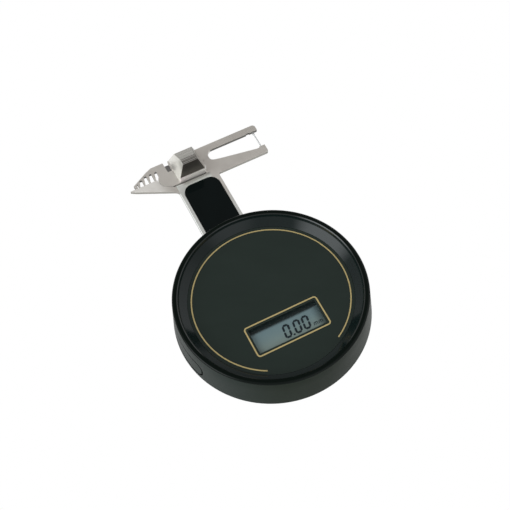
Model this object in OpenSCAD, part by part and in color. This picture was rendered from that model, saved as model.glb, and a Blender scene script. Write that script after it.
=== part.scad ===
/* [Case] */
// Diameter of the case at its base
case_d = 64.2; // [63:0.1:70]
// Height of the case
case_h = 12.8; // [12.5:0.1:15]
// How far the side wall leans inwards from the base to the rim
wall_lean = 1.05; // [0.5:0.05:1.3]
// Thickness of the side wall at its base, above the back cover
wall_t = 2.7; // [2.4:0.1:3.2]
// Width of the foot that stands round the back cover
foot_w = 1.8; // [1.4:0.1:2.2]
// Rounding of the outer edge of the rim
rim_round = 0.7; // [0.3:0.05:1]
// Width of the rim
rim_w = 1.75; // [1.4:0.05:2.2]
// Depth of the upright step inside the rim
step_drop = 1.2; // [0.8:0.05:1.6]
// How far that step leans inwards
step_lean = 0.3; // [0.1:0.05:0.5]
// Width of the glossy bevel between the step and the dial
bevel_w = 2.5; // [1.8:0.1:3]
// Height of that bevel
bevel_drop = 2.1; // [1.5:0.1:2.4]
// Thickness of the deck that carries the dial
deck_t = 1.0; // [0.8:0.05:1.2]
// Thickness of the back cover
cover_t = 1.2; // [1:0.05:1.4]
// Diameter of the four screw bosses near the side wall
boss_d = 5.0; // [4.4:0.1:5.4]
// Distance from the inside of the side wall to the middle of a boss
boss_inset = 3.1; // [2.8:0.1:3.6]
// Diameter of the case screws
case_screw_d = 2.0; // [1.6:0.1:2.2]

/* [Dial] */
// Thickness of the dial plate
face_t = 0.8; // [0.7:0.05:1]
// Distance from the edge of the dial to the gold ring
ring_inset = 1.1; // [0.6:0.05:2]
// Width of the gold ring line
ring_line = 0.4; // [0.3:0.05:0.9]
// Angle left open at the bottom of the gold ring
ring_gap = 58; // [40:1:70]
// Thickness of the gold foil
foil_t = 0.05; // [0.03:0.01:0.1]
// How much narrower the gold frame round the display is than the radius of the dial
frame_narrow = 1.5; // [0.9:0.05:3.5]
// How much less high that frame is than the radius of the dial
frame_short = 15.85; // [15.5:0.05:16.9]
// Room between the display holder and the battery contact above it
display_room = 1.1; // [0.6:0.05:1.4]
// Width of the line of that frame
frame_line = 0.45; // [0.3:0.05:0.9]
// Corner radius of that frame, on its middle line
frame_corner = 0.9; // [0.6:0.05:1.5]
// Distance from the gold frame to the window
window_margin = 0.7; // [0.4:0.05:0.9]
// Depth of the window below the dial
window_sink = 0.15; // [0.05:0.05:0.3]
// How far the display glass reaches past the window on each side
glass_border = 1.4; // [1.1:0.1:1.5]
// Gap between the window and the display glass
glass_sink = 0.55; // [0.15:0.05:0.6]
// Thickness of each of the two display glasses
glass_t = 0.7; // [0.6:0.05:0.75]
// Wall of the display holder
holder_wall = 1.0; // [0.7:0.1:1.1]

/* [Electronics] */
// Thickness of the circuit boards
board_t = 0.8; // [0.6:0.1:1]
// Distance from the deck down to the main board
board_drop = 1.3; // [1.2:0.05:1.5]
// Diameter of the board screws
board_screw_d = 1.4; // [1.2:0.1:1.6]
// Room between the coin cell and the front of the drawer
cell_front = 0.2; // [0.1:0.1:1.2]
// Room between the coin cell and the deck
cell_room = 1.6; // [1.6:0.1:2.3]
// Width of the drawer beside the cell, on each side
tray_side = 1.1; // [1:0.05:1.4]
// Thickness of the wall behind the cell
tray_back = 0.75; // [0.6:0.05:1]
// Thickness of the tray floor under the cell
tray_floor = 0.9; // [0.8:0.05:1.1]
// Straight part of each end of the drawer front
drawer_flat = 1.0; // [0.6:0.1:2.2]
// Direction of the zero button on the side wall, in degrees
button_turn = 30; // [26:1:33]
// Room above and below the zero button, inside the case
button_room = 1.25; // [1.1:0.05:1.75]
// How far the zero button stands out
button_out = 0.5; // [0.45:0.05:0.8]
// How far the zero button can be pressed
button_travel = 0.4; // [0.3:0.05:0.4]

/* [Neck] */
// Width of the neck
neck_w = 15.4; // [14.8:0.1:16]
// Thickness of the neck
neck_t = 2.6; // [2.5:0.05:2.8]
// Place of the middle of the neck across the case
neck_x = -0.25; // [-0.5:0.05:0.5]
// Length of the neck outside the case
neck_len = 26.0; // [20:0.5:34]
// Thickness of the jaw plates, which is also the depth of the neck inlay
plate_t = 1.1; // [1:0.05:1.2]
// Thickness of the floor of the neck
floor_t = 0.6; // [0.5:0.05:0.7]
// Width of the bright rail beside the black inlay
rail_w = 1.25; // [1:0.05:1.4]
// Width of the ledge that carries the inlay
ledge_w = 0.85; // [0.6:0.05:1]
// Width of the bright bar across the end of the neck
crossbar_w = 1.75; // [1.2:0.05:2.4]
// Corner radius of the inlay
inlay_corner = 3.3; // [2:0.1:4]
// Thickness of the scale strip
scale_t = 0.3; // [0.2:0.05:0.4]
// How far the jaws open
travel = 25; // [15:1:26]

/* [Jaws] */
// Reach of the fixed jaw to the left of the middle
jaw_reach = 23.1; // [22:0.1:25]
// Reach of the fixed fork prong to the right of the middle
fork_reach = 27.1; // [24:0.1:30]
// Height of the jaw contact line above the end of the neck
contact_up = 5.55; // [5:0.05:6.5]
// Length of the head above the end of the neck
head_len = 11.4; // [11:0.1:13]
// Width of the moving fork prong
prong_w = 2.7; // [2:0.1:3]
// Depth of the fixed fork prong below the end of the neck
prong_drop = 1.85; // [1.4:0.05:2.4]
// Height of the tip of the fixed prong above the end of the neck
anvil_up = 1.5; // [1.2:0.05:2]
// Width of the flat end under the probe pin
anvil_w = 2.1; // [1.6:0.1:3]
// Number of slots in the comb jaw
slots = 5; // [3:1:5]
// Distance from one comb slot to the next
slot_pitch = 2.0; // [1.8:0.05:2.05]
// Width of a comb tooth at its root
tooth_root = 1.2; // [1:0.05:1.65]
// Width of a comb tooth at its tip
tooth_tip = 0.3; // [0.25:0.05:0.6]
// Diameter of the probe pin
pin_d = 0.5; // [0.4:0.05:0.7]

/* [Thumb block] */
// Place of the middle of the thumb block across the head
block_x = -1.05; // [-1.5:0.05:-0.8]
// Width of the thumb block at its foot
block_w = 10.4; // [9:0.1:11]
// Height of the thumb block above the plates
block_h = 8.8; // [7:0.1:10]
// How far each end leans inwards for each millimetre of height
block_lean = 0.27; // [0.1:0.01:0.3]
// Height of the step along the front of the foot
foot_h = 2.05; // [1.5:0.05:3]
// Depth of that step
foot_step = 0.4; // [0.2:0.05:0.6]
// Depth of the flat top, from front to back
top_len = 2.2; // [1.8:0.1:3]
// Depth of the sloping thumb rest behind it
rest_len = 5.1; // [4:0.1:5.5]
// How far the thumb rest drops
rest_drop = 2.1; // [1:0.1:2.5]
// Distance between the ribs
rib_pitch = 0.6; // [0.5:0.05:0.9]
// Depth of the grooves between the ribs
rib_depth = 0.25; // [0.15:0.05:0.35]

/* [Fits] */
// Gap between pieces that are fastened together
fit_gap = 0.05; // [0.03:0.01:0.08]
// Gap between a piece that slides and its guide
run_gap = 0.06; // [0.04:0.01:0.08]
// Seam round the battery drawer
drawer_seam = 0.2; // [0.1:0.02:0.3]
// Gap between the closed jaws
jaw_gap = 0.06; // [0.04:0.01:0.1]
// Seam between the moving head and the fixed jaws
seam_gap = 0.1; // [0.06:0.01:0.15]

/* [Hidden] */
$fn = 96;
// Cutting shapes run past the faces that they cut by this much
past = 1;

// Heights and radii of the case
base_r = case_d / 2;
top_r = base_r - wall_lean;
inner_r = base_r - wall_t;
seat_r = base_r - foot_w;
rim_in_r = top_r - rim_w;
step_r = rim_in_r - step_lean;
face_r = step_r - bevel_w;
step_z = case_h - step_drop;
face_z = step_z - bevel_drop;
deck_top = face_z - face_t;
deck_z = deck_top - deck_t;
foot_chamfer = 0.25;
boss_angles = [50, 130, 230, 310];
boss_ring = inner_r - boss_inset;
boss_hole = case_screw_d / 2 + fit_gap / 2;
screw_head_h = 0.9;
screw_top = deck_z - 1.2;
boss_top = deck_z + deck_t / 2;

// Display stack, from the dial down
frame_w = face_r - frame_narrow;
frame_h = face_r - frame_short;
window_w = frame_w - frame_line - 2 * window_margin;
window_h = frame_h - frame_line - 2 * window_margin;
window_flange = 0.8;
flange_t = 0.3;
window_z = face_z - window_sink;
glass_w = window_w + 2 * glass_border;
glass_h = window_h + 2 * glass_border;
glass_top = deck_top - glass_sink;
glass_step = 2.0;
rear_glass_z = glass_top - 2 * glass_t;
board_top = deck_z - board_drop;
board_z = board_top - board_t;
board_r = boss_ring - boss_d / 2 - 0.6;
strip_w = 1.4;
strip_len = glass_w - 2;
holder_floor_z = rear_glass_z - fit_gap;
holder_rim = holder_wall + fit_gap;
contact_w = 2.0;
contact_y = 2.5;
display_y = -(contact_y + contact_w / 2 + display_room + holder_rim + glass_h / 2);

// Neck, its groove and the sliding bar
neck_left = neck_x - neck_w / 2;
neck_right = neck_x + neck_w / 2;
neck_end = base_r + neck_len;
plate_z = neck_t - plate_t;
recess_w = neck_w - 2 * rail_w;
groove_w = recess_w - 2 * ledge_w;
recess_end = neck_end - crossbar_w;
frame_rear = -(inner_r - 2.4);
frame_wall = 1.6;
groove_rear = frame_rear + frame_wall;
bar_w = groove_w - 2 * run_gap;
bar_rear = groove_rear + 0.4;
bar_z = floor_t + run_gap;
bar_top = plate_z - run_gap;
inlay_rear = inner_r - 0.8;

// Frame lugs and their screws
lug_r = 2.2;
lug_t = 0.7;
lug_inset = 8.4;
lug_y = inner_r - lug_inset;
lug_out = 2.3;
frame_screw_d = 1.6;
lug_places = [
    for (x = [neck_left - lug_out, neck_right + lug_out])
        for (y = [-lug_y, lug_y])
            [x, y]
];

// Battery drawer on the left side, sliding out along -X
drawer_z = cover_t + 0.6;
drawer_top = deck_z - 0.1;
drawer_h = drawer_top - drawer_z;
drawer_mid = drawer_z + drawer_h / 2;
drawer_corner = (drawer_h - drawer_flat) / 2;
tray_rear = neck_left - 0.35;
tray_inset = 0.2;
cell_gap = 0.15;
cell_d = inner_r - cell_front + tray_rear - tray_back - cell_gap;
cell_z = drawer_z + tray_inset + tray_floor;
cell_t = deck_z - cell_room - cell_z;
drawer_w = cell_d + 2 * tray_side;
tray_top = cell_z + cell_t;
cell_x = tray_rear - tray_back - cell_gap - cell_d / 2;
notch_x = tray_rear + 0.25;
guide_t = 0.8;
guide_y = drawer_w / 2 + run_gap;
notch_half = guide_y + guide_t + 0.2;
guide_end = -(glass_w / 2 + holder_wall + 1.6);
guide_inset = 2;
pocket_depth = 3;

// Battery contacts, soldered on the main board beside the cell
contact_t = 0.2;
contact_foot = 3.0;
contact_edge = 0.6;
contact_reach = 7;

// Zero button and its switch
button_z = (cover_t + deck_z) / 2;
button_d = deck_z - cover_t - 2 * button_room;
switch_h = 2 * (board_z - button_z);
switch_len = 3.3;
switch_w = 4.6;
plunger_len = 0.7;
plunger_d = switch_h / 2;
switch_r = board_r - 0.6;
button_stem_r = 1.0;
button_flange = 0.7;

// Board screws stand on a ring near the edge of the main board
board_screw_r = board_r - 1.9;
board_boss_r = 1.5;
left_screw_turn = 180 - asin((notch_half + board_boss_r) / board_screw_r);
board_screw_angles = [10, left_screw_turn, 360 - left_screw_turn, 321];
board_head_h = 0.8;

// Small parts between the two boards
header_x = -2.3;
header_y = 9;
header_w = 2.4;
header_pins = 5;
header_step = 2;
header_pin_d = 0.5;
spacer_x = -4.7;
spacer_places = [6.2, 20.6];
spacer_d = 2.4;
sensor_w = 9.0;
sensor_left = neck_x - recess_w / 2 + fit_gap;
sensor_rear = 4;
sensor_len = inlay_rear - 0.6 - sensor_rear;

// Scale strip, stop pin and spring
scale_w = 5.1;
scale_rear = bar_rear + 5;
scale_len = 45;
stop_d = 1.2;
stop_x = neck_x - 3.75;
stop_y = 2;
spring_x = neck_x + 4.35;
spring_z = neck_t + 0.3;
spring_r = 1.1;
spring_wire = 0.3;
post_d = 1.0;
post_rear_y = frame_rear + frame_wall / 2;
post_front_y = -1.5;
loop_r = 0.85;

// Outline of the head, measured up from the end of the neck
cheek_x = 5.0;
cheek_up = 5.65;
root_x = 7.3;
root_up = 5.85;
prong_low = head_len - 0.1 - prong_w;
prong_tip = fork_reach + 0.55;
front_gap = 0.5;
comb_x = -11.75;
comb_top = 9.1;
comb_back = 0.35;
comb_edge_x = -12.85;
comb_tip_x = -(jaw_reach - 2.2);
comb_slope = 0.569;
pin_x = fork_reach - anvil_w / 2 - 0.25;
tee_left = -8.2;
tee_right = 3.4;
tee_len = 9.95;
block_y = neck_end + front_gap;
screw_places = [block_y + 2.4, block_y + 6.9];
block_screw_d = 1.6;
block_head_d = 3.2;
block_head_h = 0.5;
slot_half = 0.2;
slot_depth = 0.25;
screw_bite = 4.4;
block_screw_top = neck_t + screw_bite;
pin_seat = 1.8;
prong_notch = [4.45, 3.25];
collar_d = 0.8;
collar_len = 1.2;

// Radius of the side wall at a height
function wall_r(z) = base_r - wall_lean * z / case_h;

function unit(v) = v / norm(v);

// One corner of an outline, rounded: p and s are its neighbours, q is the corner with its radius
function corner(p, q, s) =
    let (
        a = unit([p.x - q.x, p.y - q.y]),
        b = unit([s.x - q.x, s.y - q.y]),
        half = acos(a * b) / 2,
        middle = [q.x, q.y] + unit(a + b) * q.z / sin(half),
        first = [q.x, q.y] + a * q.z / tan(half) - middle,
        last = [q.x, q.y] + b * q.z / tan(half) - middle,
        start = atan2(first.y, first.x),
        sweep = atan2(last.y, last.x) - start,
        turn = sweep > 180 ? sweep - 360 : sweep < -180 ? sweep + 360 : sweep,
        steps = 8
    )
    [for (i = [0:steps]) middle + q.z * [cos(start + turn * i / steps), sin(start + turn * i / steps)]];

// An outline from corners written as [x, y, radius]
function outline(points) =
    let (n = len(points))
    [
        for (i = [0:n - 1])
            let (q = points[i])
            each q.z == 0
                ? [[q.x, q.y]]
                : corner(points[(i + n - 1) % n], q, points[(i + 1) % n])
    ];

module rounded_rect(w, h, r) {
    square([w - 2 * r, h], center = true);
    square([w, h - 2 * r], center = true);
    for (x = [-1, 1])
        for (y = [-1, 1])
            translate([x * (w / 2 - r), y * (h / 2 - r)])
                circle(r);
}

// A flat plate with its lower left corner at x, y
module slab(x, y, z, w, l, h) {
    translate([x, y, z])
        cube([w, l, h]);
}

module post(x, y, z, d, h) {
    translate([x, y, z])
        cylinder(d = d, h = h);
}

// A cylinder that lies along a radius of the case at an angle and a height
module radial(angle, z, from_r, to_r, d) {
    rotate([0, 0, angle])
        translate([from_r, 0, z])
            rotate([0, 90, 0])
                cylinder(d = d, h = to_r - from_r);
}

module at_ring(angles, r) {
    for (a = angles)
        rotate([0, 0, a])
            translate([r, 0, 0])
                children();
}

// Side wall, rim, bevel and deck in one turned outline
module case_shell() {
    round_mid = [wall_r(case_h - rim_round) - rim_round, case_h - rim_round];
    rotate_extrude($fn = 180)
        polygon(concat(
            [[seat_r, 0], [base_r - foot_chamfer, 0], [wall_r(foot_chamfer), foot_chamfer]],
            [for (a = [0:15:90]) round_mid + rim_round * [cos(a), sin(a)]],
            [[rim_in_r, case_h], [step_r, step_z], [face_r, face_z], [face_r, deck_top]],
            [[0, deck_top], [0, deck_z], [inner_r, deck_z], [inner_r, cover_t], [seat_r, cover_t]]
        ));
}

// The drawer section as a bar along X, drawn in on all sides by an inset
module drawer_bar(inset, from_x, to_x) {
    translate([from_x, 0, drawer_mid])
        rotate([90, 0, 90])
            linear_extrude(to_x - from_x)
                rounded_rect(drawer_w - 2 * inset, drawer_h - 2 * inset, drawer_corner - inset);
}

module front_case() {
    color([0.16, 0.18, 0.17])
        difference() {
            union() {
                case_shell();
                at_ring(boss_angles, boss_ring)
                    post(0, 0, cover_t, boss_d, boss_top - cover_t);
                at_ring(board_screw_angles, board_screw_r)
                    post(0, 0, board_top, 2 * board_boss_r, boss_top - board_top);
                for (p = lug_places)
                    post(p.x, p.y, neck_t, 2 * lug_r, boss_top - neck_t);
                for (s = [-1, 1])
                    slab(-inner_r + guide_inset, s * (guide_y + guide_t / 2) - guide_t / 2,
                        drawer_z, guide_end + inner_r - guide_inset, guide_t, deck_z - drawer_z);
            }
            slab(neck_left - fit_gap, 0, -past, neck_w + 2 * fit_gap, base_r + past,
                neck_t + fit_gap + past);
            drawer_bar(-drawer_seam, -base_r - past, -inner_r + pocket_depth);
            translate([0, display_y, deck_z - past])
                linear_extrude(deck_t + 2 * past)
                    square([glass_w + 2 * fit_gap, glass_h + 2 * fit_gap], center = true);
            at_ring(boss_angles, boss_ring)
                post(0, 0, cover_t - past, 2 * boss_hole, screw_top - cover_t + past);
            at_ring(board_screw_angles, board_screw_r)
                post(0, 0, board_top - past, board_screw_d + fit_gap, board_drop + past + 0.5);
            for (p = lug_places)
                post(p.x, p.y, neck_t - past, frame_screw_d + fit_gap, screw_top - neck_t + past);
            radial(button_turn, button_z, inner_r - past, base_r + past, button_d + 2 * run_gap);
        }
}

module back_cover() {
    color([0.3, 0.31, 0.31])
        difference() {
            union() {
                cylinder(r = seat_r - fit_gap, h = cover_t, $fn = 180);
                for (s = [-1, 1])
                    slab(-inner_r + 2.4, s * 6 - 0.8, cover_t, tray_rear + inner_r - 2.4, 1.6,
                        drawer_z + tray_inset - run_gap - cover_t);
            }
            slab(neck_left - fit_gap, frame_rear - fit_gap, -past, neck_w + 2 * fit_gap,
                base_r - frame_rear, cover_t + 2 * past);
            at_ring(boss_angles, boss_ring) {
                post(0, 0, -past, 2 * boss_hole, cover_t + 2 * past);
                translate([0, 0, -fit_gap])
                    cylinder(r1 = case_screw_d + fit_gap, r2 = boss_hole, h = screw_head_h + fit_gap);
            }
        }
}

module case_screws() {
    color([0.7, 0.7, 0.7])
        at_ring(boss_angles, boss_ring)
            difference() {
                union() {
                    cylinder(r1 = case_screw_d - fit_gap, r2 = case_screw_d / 2 - fit_gap / 4,
                        h = screw_head_h);
                    cylinder(d = case_screw_d, h = screw_top - 0.4);
                }
                for (a = [0, 90])
                    rotate([0, 0, a])
                        translate([0, 0, 0.15])
                            cube([2.2, 0.45, 0.7], center = true);
            }
}

module face_panel() {
    color([0.15, 0.17, 0.165])
        difference() {
            post(0, 0, deck_top, 2 * (face_r - fit_gap), face_t, $fn = 180);
            translate([0, display_y, deck_top - past])
                linear_extrude(face_t + 2 * past)
                    square([window_w, window_h], center = true);
            translate([0, display_y, deck_top - past])
                linear_extrude(flange_t + past)
                    square([window_w + 2 * window_flange, window_h + 2 * window_flange],
                        center = true);
        }
}

module dial_ring() {
    ring_r = face_r - ring_inset;
    color([0.75, 0.67, 0.47])
        translate([0, 0, face_z])
            rotate([0, 0, -90 + ring_gap / 2])
                rotate_extrude(angle = 360 - ring_gap, $fn = 180)
                    translate([ring_r - ring_line, 0])
                        square([ring_line, foil_t]);
}

module display_frame() {
    color([0.75, 0.67, 0.47])
        translate([0, display_y, face_z])
            linear_extrude(foil_t)
                difference() {
                    rounded_rect(frame_w + frame_line, frame_h + frame_line,
                        frame_corner + frame_line / 2);
                    rounded_rect(frame_w - frame_line, frame_h - frame_line,
                        frame_corner - frame_line / 2);
                }
}

module display_window() {
    color([0.8, 0.85, 0.85, 0.4])
        translate([0, display_y, deck_top])
            union() {
                linear_extrude(window_z - deck_top)
                    square([window_w - 2 * fit_gap, window_h - 2 * fit_gap], center = true);
                linear_extrude(flange_t - fit_gap)
                    square([window_w + 2 * (window_flange - fit_gap),
                        window_h + 2 * (window_flange - fit_gap)], center = true);
            }
}

// Two glasses: the front one reaches past the rear one at its lower edge
module lcd_panel() {
    color([0.45, 0.51, 0.52])
        union() {
            slab(-glass_w / 2, display_y - glass_h / 2, glass_top - glass_t, glass_w, glass_h,
                glass_t);
            slab(-glass_w / 2, display_y - glass_h / 2 + glass_step, rear_glass_z, glass_w,
                glass_h - glass_step, 2 * glass_t);
        }
}

module lcd_holder() {
    color([0.75, 0.75, 0.72])
        difference() {
            slab(-glass_w / 2 - holder_rim, display_y - glass_h / 2 - holder_rim, board_top,
                glass_w + 2 * holder_rim, glass_h + 2 * holder_rim, board_drop - fit_gap);
            slab(-glass_w / 2 - fit_gap, display_y - glass_h / 2 - fit_gap, holder_floor_z,
                glass_w + 2 * fit_gap, glass_h + 2 * fit_gap, board_drop + past);
            slab(-strip_len / 2 - fit_gap, display_y - glass_h / 2 - fit_gap, board_top - past,
                strip_len + 2 * fit_gap, strip_w + 3 * fit_gap, board_drop + 2 * past);
        }
}

module contact_strip() {
    color([0.35, 0.25, 0.3])
        slab(-strip_len / 2, display_y - glass_h / 2 + fit_gap, board_top, strip_len, strip_w,
            glass_top - glass_t - board_top);
}

module main_board() {
    color([0.1, 0.35, 0.2])
        difference() {
            post(0, 0, board_z, 2 * board_r, board_t, $fn = 180);
            slab(-base_r, -notch_half, board_z - past, notch_x + base_r, 2 * notch_half,
                board_t + 2 * past);
            for (p = lug_places)
                post(p.x, p.y, board_z - past, 2 * (lug_r + 0.3), board_t + 2 * past);
            at_ring(board_screw_angles, board_screw_r)
                post(0, 0, board_z - past, board_screw_d + 2 * fit_gap, board_t + 2 * past);
            header_holes(board_z);
        }
}

module header_holes(z) {
    for (i = [0:header_pins - 1])
        post(header_x, header_y + i * header_step, z - past, header_pin_d + 2 * fit_gap,
            board_t + 2 * past);
}

module controller_chip() {
    color([0.08, 0.08, 0.08])
        union() {
            slab(2, 6, board_top + 0.1, 6, 6, 0.9);
            for (i = [0:6])
                slab(1.4, 6.5 + 0.75 * i, board_top, 7.2, 0.3, 0.25);
        }
}

module timing_crystal() {
    color([0.75, 0.75, 0.75])
        post(12.5, 8, board_top, 3, 0.8);
}

module board_capacitors() {
    color([0.6, 0.5, 0.35])
        for (i = [0:3])
            slab(2.2 + 2.4 * i, 1.5, board_top, 1.2, 2, 0.7);
}

module board_screws() {
    color([0.7, 0.7, 0.7])
        at_ring(board_screw_angles, board_screw_r)
            difference() {
                union() {
                    post(0, 0, board_z - board_head_h, 2 * board_screw_d, board_head_h);
                    post(0, 0, board_z - board_head_h, board_screw_d,
                        board_head_h + board_t + board_drop);
                }
                slab(-board_screw_d, -0.2, board_z - board_head_h - past, 2 * board_screw_d, 0.4,
                    past + 0.35);
            }
}

// A strip bent from a foot on the board, drawn in the XZ plane and as wide as contact_w
module bent_strip(y, points) {
    translate([0, y + contact_w / 2, 0])
        rotate([90, 0, 0])
            linear_extrude(contact_w)
                polygon(points);
}

module plus_contact() {
    side_x = cell_x + cell_d / 2 + fit_gap;
    back_x = (side_x + contact_t + notch_x) / 2;
    mid = cell_z + cell_t / 2;
    half = cell_t / 2 - contact_edge;
    color([0.8, 0.7, 0.4])
        bent_strip(-contact_y, [
            [notch_x + contact_foot, board_top], [notch_x + contact_foot, board_top + contact_t],
            [back_x - contact_t, board_top + contact_t], [back_x - contact_t, mid + half],
            [side_x, mid], [back_x - contact_t, mid - half], [back_x, mid - half],
            [side_x + contact_t, mid], [back_x, mid + half], [back_x, board_top]
        ]);
}

module minus_contact() {
    touch = tray_top + fit_gap;
    reach = notch_x - contact_reach;
    color([0.8, 0.7, 0.4])
        bent_strip(contact_y, [
            [notch_x + contact_foot, board_top], [notch_x + contact_foot, board_top + contact_t],
            [notch_x - 0.2, board_top + contact_t], [reach, touch + contact_t],
            [reach - 1.2, touch + 0.3 + contact_t], [reach - 1.2, touch + 0.3], [reach, touch],
            [notch_x - 0.2, board_top]
        ]);
}

// A curved front that closes the wall, and a low tray behind it
module battery_drawer() {
    front_r = inner_r + 0.3;
    color([0.2, 0.22, 0.21])
        difference() {
            union() {
                intersection() {
                    drawer_bar(0, -base_r - past, -base_r / 2);
                    difference() {
                        cylinder(r1 = base_r, r2 = top_r, h = case_h, $fn = 180);
                        translate([0, 0, -past])
                            cylinder(r = front_r, h = case_h + 2 * past, $fn = 180);
                    }
                }
                intersection() {
                    drawer_bar(tray_inset, -base_r, tray_rear);
                    translate([0, 0, drawer_z])
                        cylinder(r = front_r + fit_gap, h = tray_top - drawer_z, $fn = 180);
                }
            }
            post(cell_x, 0, cell_z, cell_d + 2 * cell_gap, case_h);
            slab(cell_x, -2 * contact_y, cell_z + 0.25, cell_d, 4 * contact_y, case_h);
        }
}

module coin_cell() {
    can_r = cell_d / 2;
    cap_r = can_r - 1.3;
    color([0.8, 0.8, 0.8])
        union() {
            post(cell_x, 0, cell_z, 2 * can_r, cell_t - 0.3);
            post(cell_x, 0, cell_z, 2 * cap_r, cell_t);
        }
}

module zero_button() {
    cap_end = wall_r(button_z) + button_out;
    flange_r = inner_r - 0.2;
    stem_end = switch_r + plunger_len + button_travel + fit_gap;
    color([0.1, 0.1, 0.1])
        union() {
            radial(button_turn, button_z, flange_r - button_flange, cap_end, button_d);
            radial(button_turn, button_z, flange_r - button_flange, flange_r, button_d + 1.4);
            radial(button_turn, button_z, stem_end, flange_r, 2 * button_stem_r);
        }
}

module button_switch() {
    color([0.2, 0.2, 0.22])
        union() {
            rotate([0, 0, button_turn])
                slab(switch_r - switch_len, -switch_w / 2, board_z - switch_h, switch_len, switch_w,
                    switch_h);
            radial(button_turn, button_z, switch_r - 0.5, switch_r + plunger_len, plunger_d);
        }
}

// Corners of the fixed jaw plate, measured up from the end of the neck
function fixed_plate() = outline([
    [-jaw_reach + 0.3, contact_up, 0],
    [-jaw_reach, contact_up - 0.15, 0],
    [-jaw_reach + 1.6, contact_up - 1.2, 0.8],
    [neck_left, -2.6, 2.6],
    [neck_left, -6, 0],
    [neck_right, -6, 0],
    [neck_right, -prong_drop, 0.6],
    [fork_reach, -prong_drop, 0.8],
    [fork_reach, anvil_up, 0.15],
    [fork_reach - anvil_w, anvil_up, 0],
    [fork_reach - anvil_w, anvil_up - 0.4, 0],
    [fork_reach - anvil_w - 1.2, anvil_up - 0.4, 0.6],
    [10.6, 3.6, 4],
    [root_x, root_up - 1.4, 1.5],
    [root_x, root_up, 0],
    [cheek_x, cheek_up, 0],
    [cheek_x - 0.05, cheek_up - 1.45, 0],
    [cheek_x - 0.7, 1.9, 0],
    [cheek_x - 1.4, 0, 0],
    [-8.6, 0, 0],
    [-12.2, 2.3, 0],
    [comb_edge_x, contact_up - 0.65, 0],
    [comb_edge_x, contact_up, 0]
]);

module inlay_outline(rear, w, end, r) {
    translate([neck_x - w / 2, rear])
        square([w, end - r - rear]);
    translate([neck_x - w / 2 + r, rear])
        square([w - 2 * r, end - rear]);
    for (s = [-1, 1])
        translate([neck_x + s * (w / 2 - r), end - r])
            circle(r);
}

// Channel through the case, the neck, the fixed jaw and the fixed fork prong
module jaw_frame() {
    color([0.82, 0.82, 0.8])
        difference() {
            union() {
                slab(neck_left, frame_rear, 0, neck_w, neck_end - frame_rear, neck_t);
                translate([0, neck_end, plate_z])
                    linear_extrude(plate_t)
                        polygon(fixed_plate());
                for (p = lug_places) {
                    post(p.x, p.y, neck_t - lug_t, 2 * lug_r, lug_t);
                    slab(min(p.x, neck_x), p.y - lug_r, neck_t - lug_t, abs(p.x - neck_x),
                        2 * lug_r, lug_t);
                }
            }
            slab(neck_x - groove_w / 2, groove_rear, floor_t, groove_w,
                neck_end - groove_rear + past, plate_z - floor_t);
            translate([0, 0, plate_z])
                linear_extrude(plate_t + past)
                    inlay_outline(groove_rear, recess_w, recess_end, inlay_corner);
            post(stop_x, stop_y, -past, stop_d + fit_gap, floor_t + 2 * past);
            post(spring_x, post_rear_y, plate_z, post_d + fit_gap, plate_t + past);
            for (p = lug_places)
                post(p.x, p.y, -past, frame_screw_d + 2 * fit_gap, neck_t + 2 * past);
        }
}

module frame_screws() {
    head_h = neck_t - lug_t - cover_t - fit_gap;
    color([0.7, 0.7, 0.7])
        for (p = lug_places)
            difference() {
                union() {
                    post(p.x, p.y, cover_t + fit_gap, 2 * frame_screw_d, head_h);
                    post(p.x, p.y, cover_t + fit_gap, frame_screw_d,
                        screw_top - 0.4 - cover_t);
                }
                slab(p.x - frame_screw_d, p.y - 0.2, cover_t - past, 2 * frame_screw_d, 0.4,
                    past + fit_gap + 0.3);
            }
}

module neck_cover() {
    color([0.03, 0.06, 0.07])
        translate([0, 0, plate_z])
            linear_extrude(plate_t)
                inlay_outline(inlay_rear, recess_w - 2 * fit_gap, recess_end - fit_gap,
                    inlay_corner - fit_gap);
}

module slide_bar() {
    bar_left = neck_x - bar_w / 2;
    color([0.75, 0.75, 0.73])
        difference() {
            union() {
                slab(bar_left, bar_rear, bar_z, bar_w, block_y + 1 - bar_rear, bar_top - bar_z);
                slab(tee_left, block_y, bar_z, tee_right - tee_left, tee_len, plate_z - bar_z);
            }
            stop_slot();
            slab(neck_x - scale_w / 2 - fit_gap, scale_rear - fit_gap, bar_top - scale_t,
                scale_w + 2 * fit_gap, scale_len + 2 * fit_gap, scale_t + past);
            post(spring_x, post_front_y, 0, post_d + fit_gap, plate_z + past);
            for (y = screw_places) {
                post(block_x, y, 0, block_screw_d + 2 * fit_gap, plate_z + past);
                post(block_x, y, 0, block_head_d + 2 * fit_gap, bar_z + block_head_h);
            }
        }
}

// A slot with round ends that meets the stop pin with the jaws closed and fully open
module stop_slot() {
    slot_d = stop_d + 2 * fit_gap;
    front = stop_y;
    rear = front - travel;
    for (y = [rear, front])
        post(stop_x, y, 0, slot_d, plate_z + past);
    slab(stop_x - slot_d / 2, rear, 0, slot_d, front - rear, plate_z + past);
}

module scale_strip() {
    color([0.15, 0.4, 0.25])
        slab(neck_x - scale_w / 2, scale_rear, bar_top - scale_t, scale_w, scale_len, scale_t);
}

module sensor_board() {
    color([0.1, 0.35, 0.2])
        difference() {
            slab(sensor_left, sensor_rear, plate_z, sensor_w, sensor_len, board_t);
            header_holes(plate_z);
        }
}

module board_header() {
    low = plate_z + board_t;
    color([0.08, 0.08, 0.08])
        union() {
            slab(header_x - header_w / 2, header_y - 1, low, header_w,
                header_step * (header_pins - 1) + 2, board_z - low);
            for (i = [0:header_pins - 1])
                post(header_x, header_y + i * header_step, plate_z, header_pin_d,
                    board_top + 0.4 - plate_z);
        }
}

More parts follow.
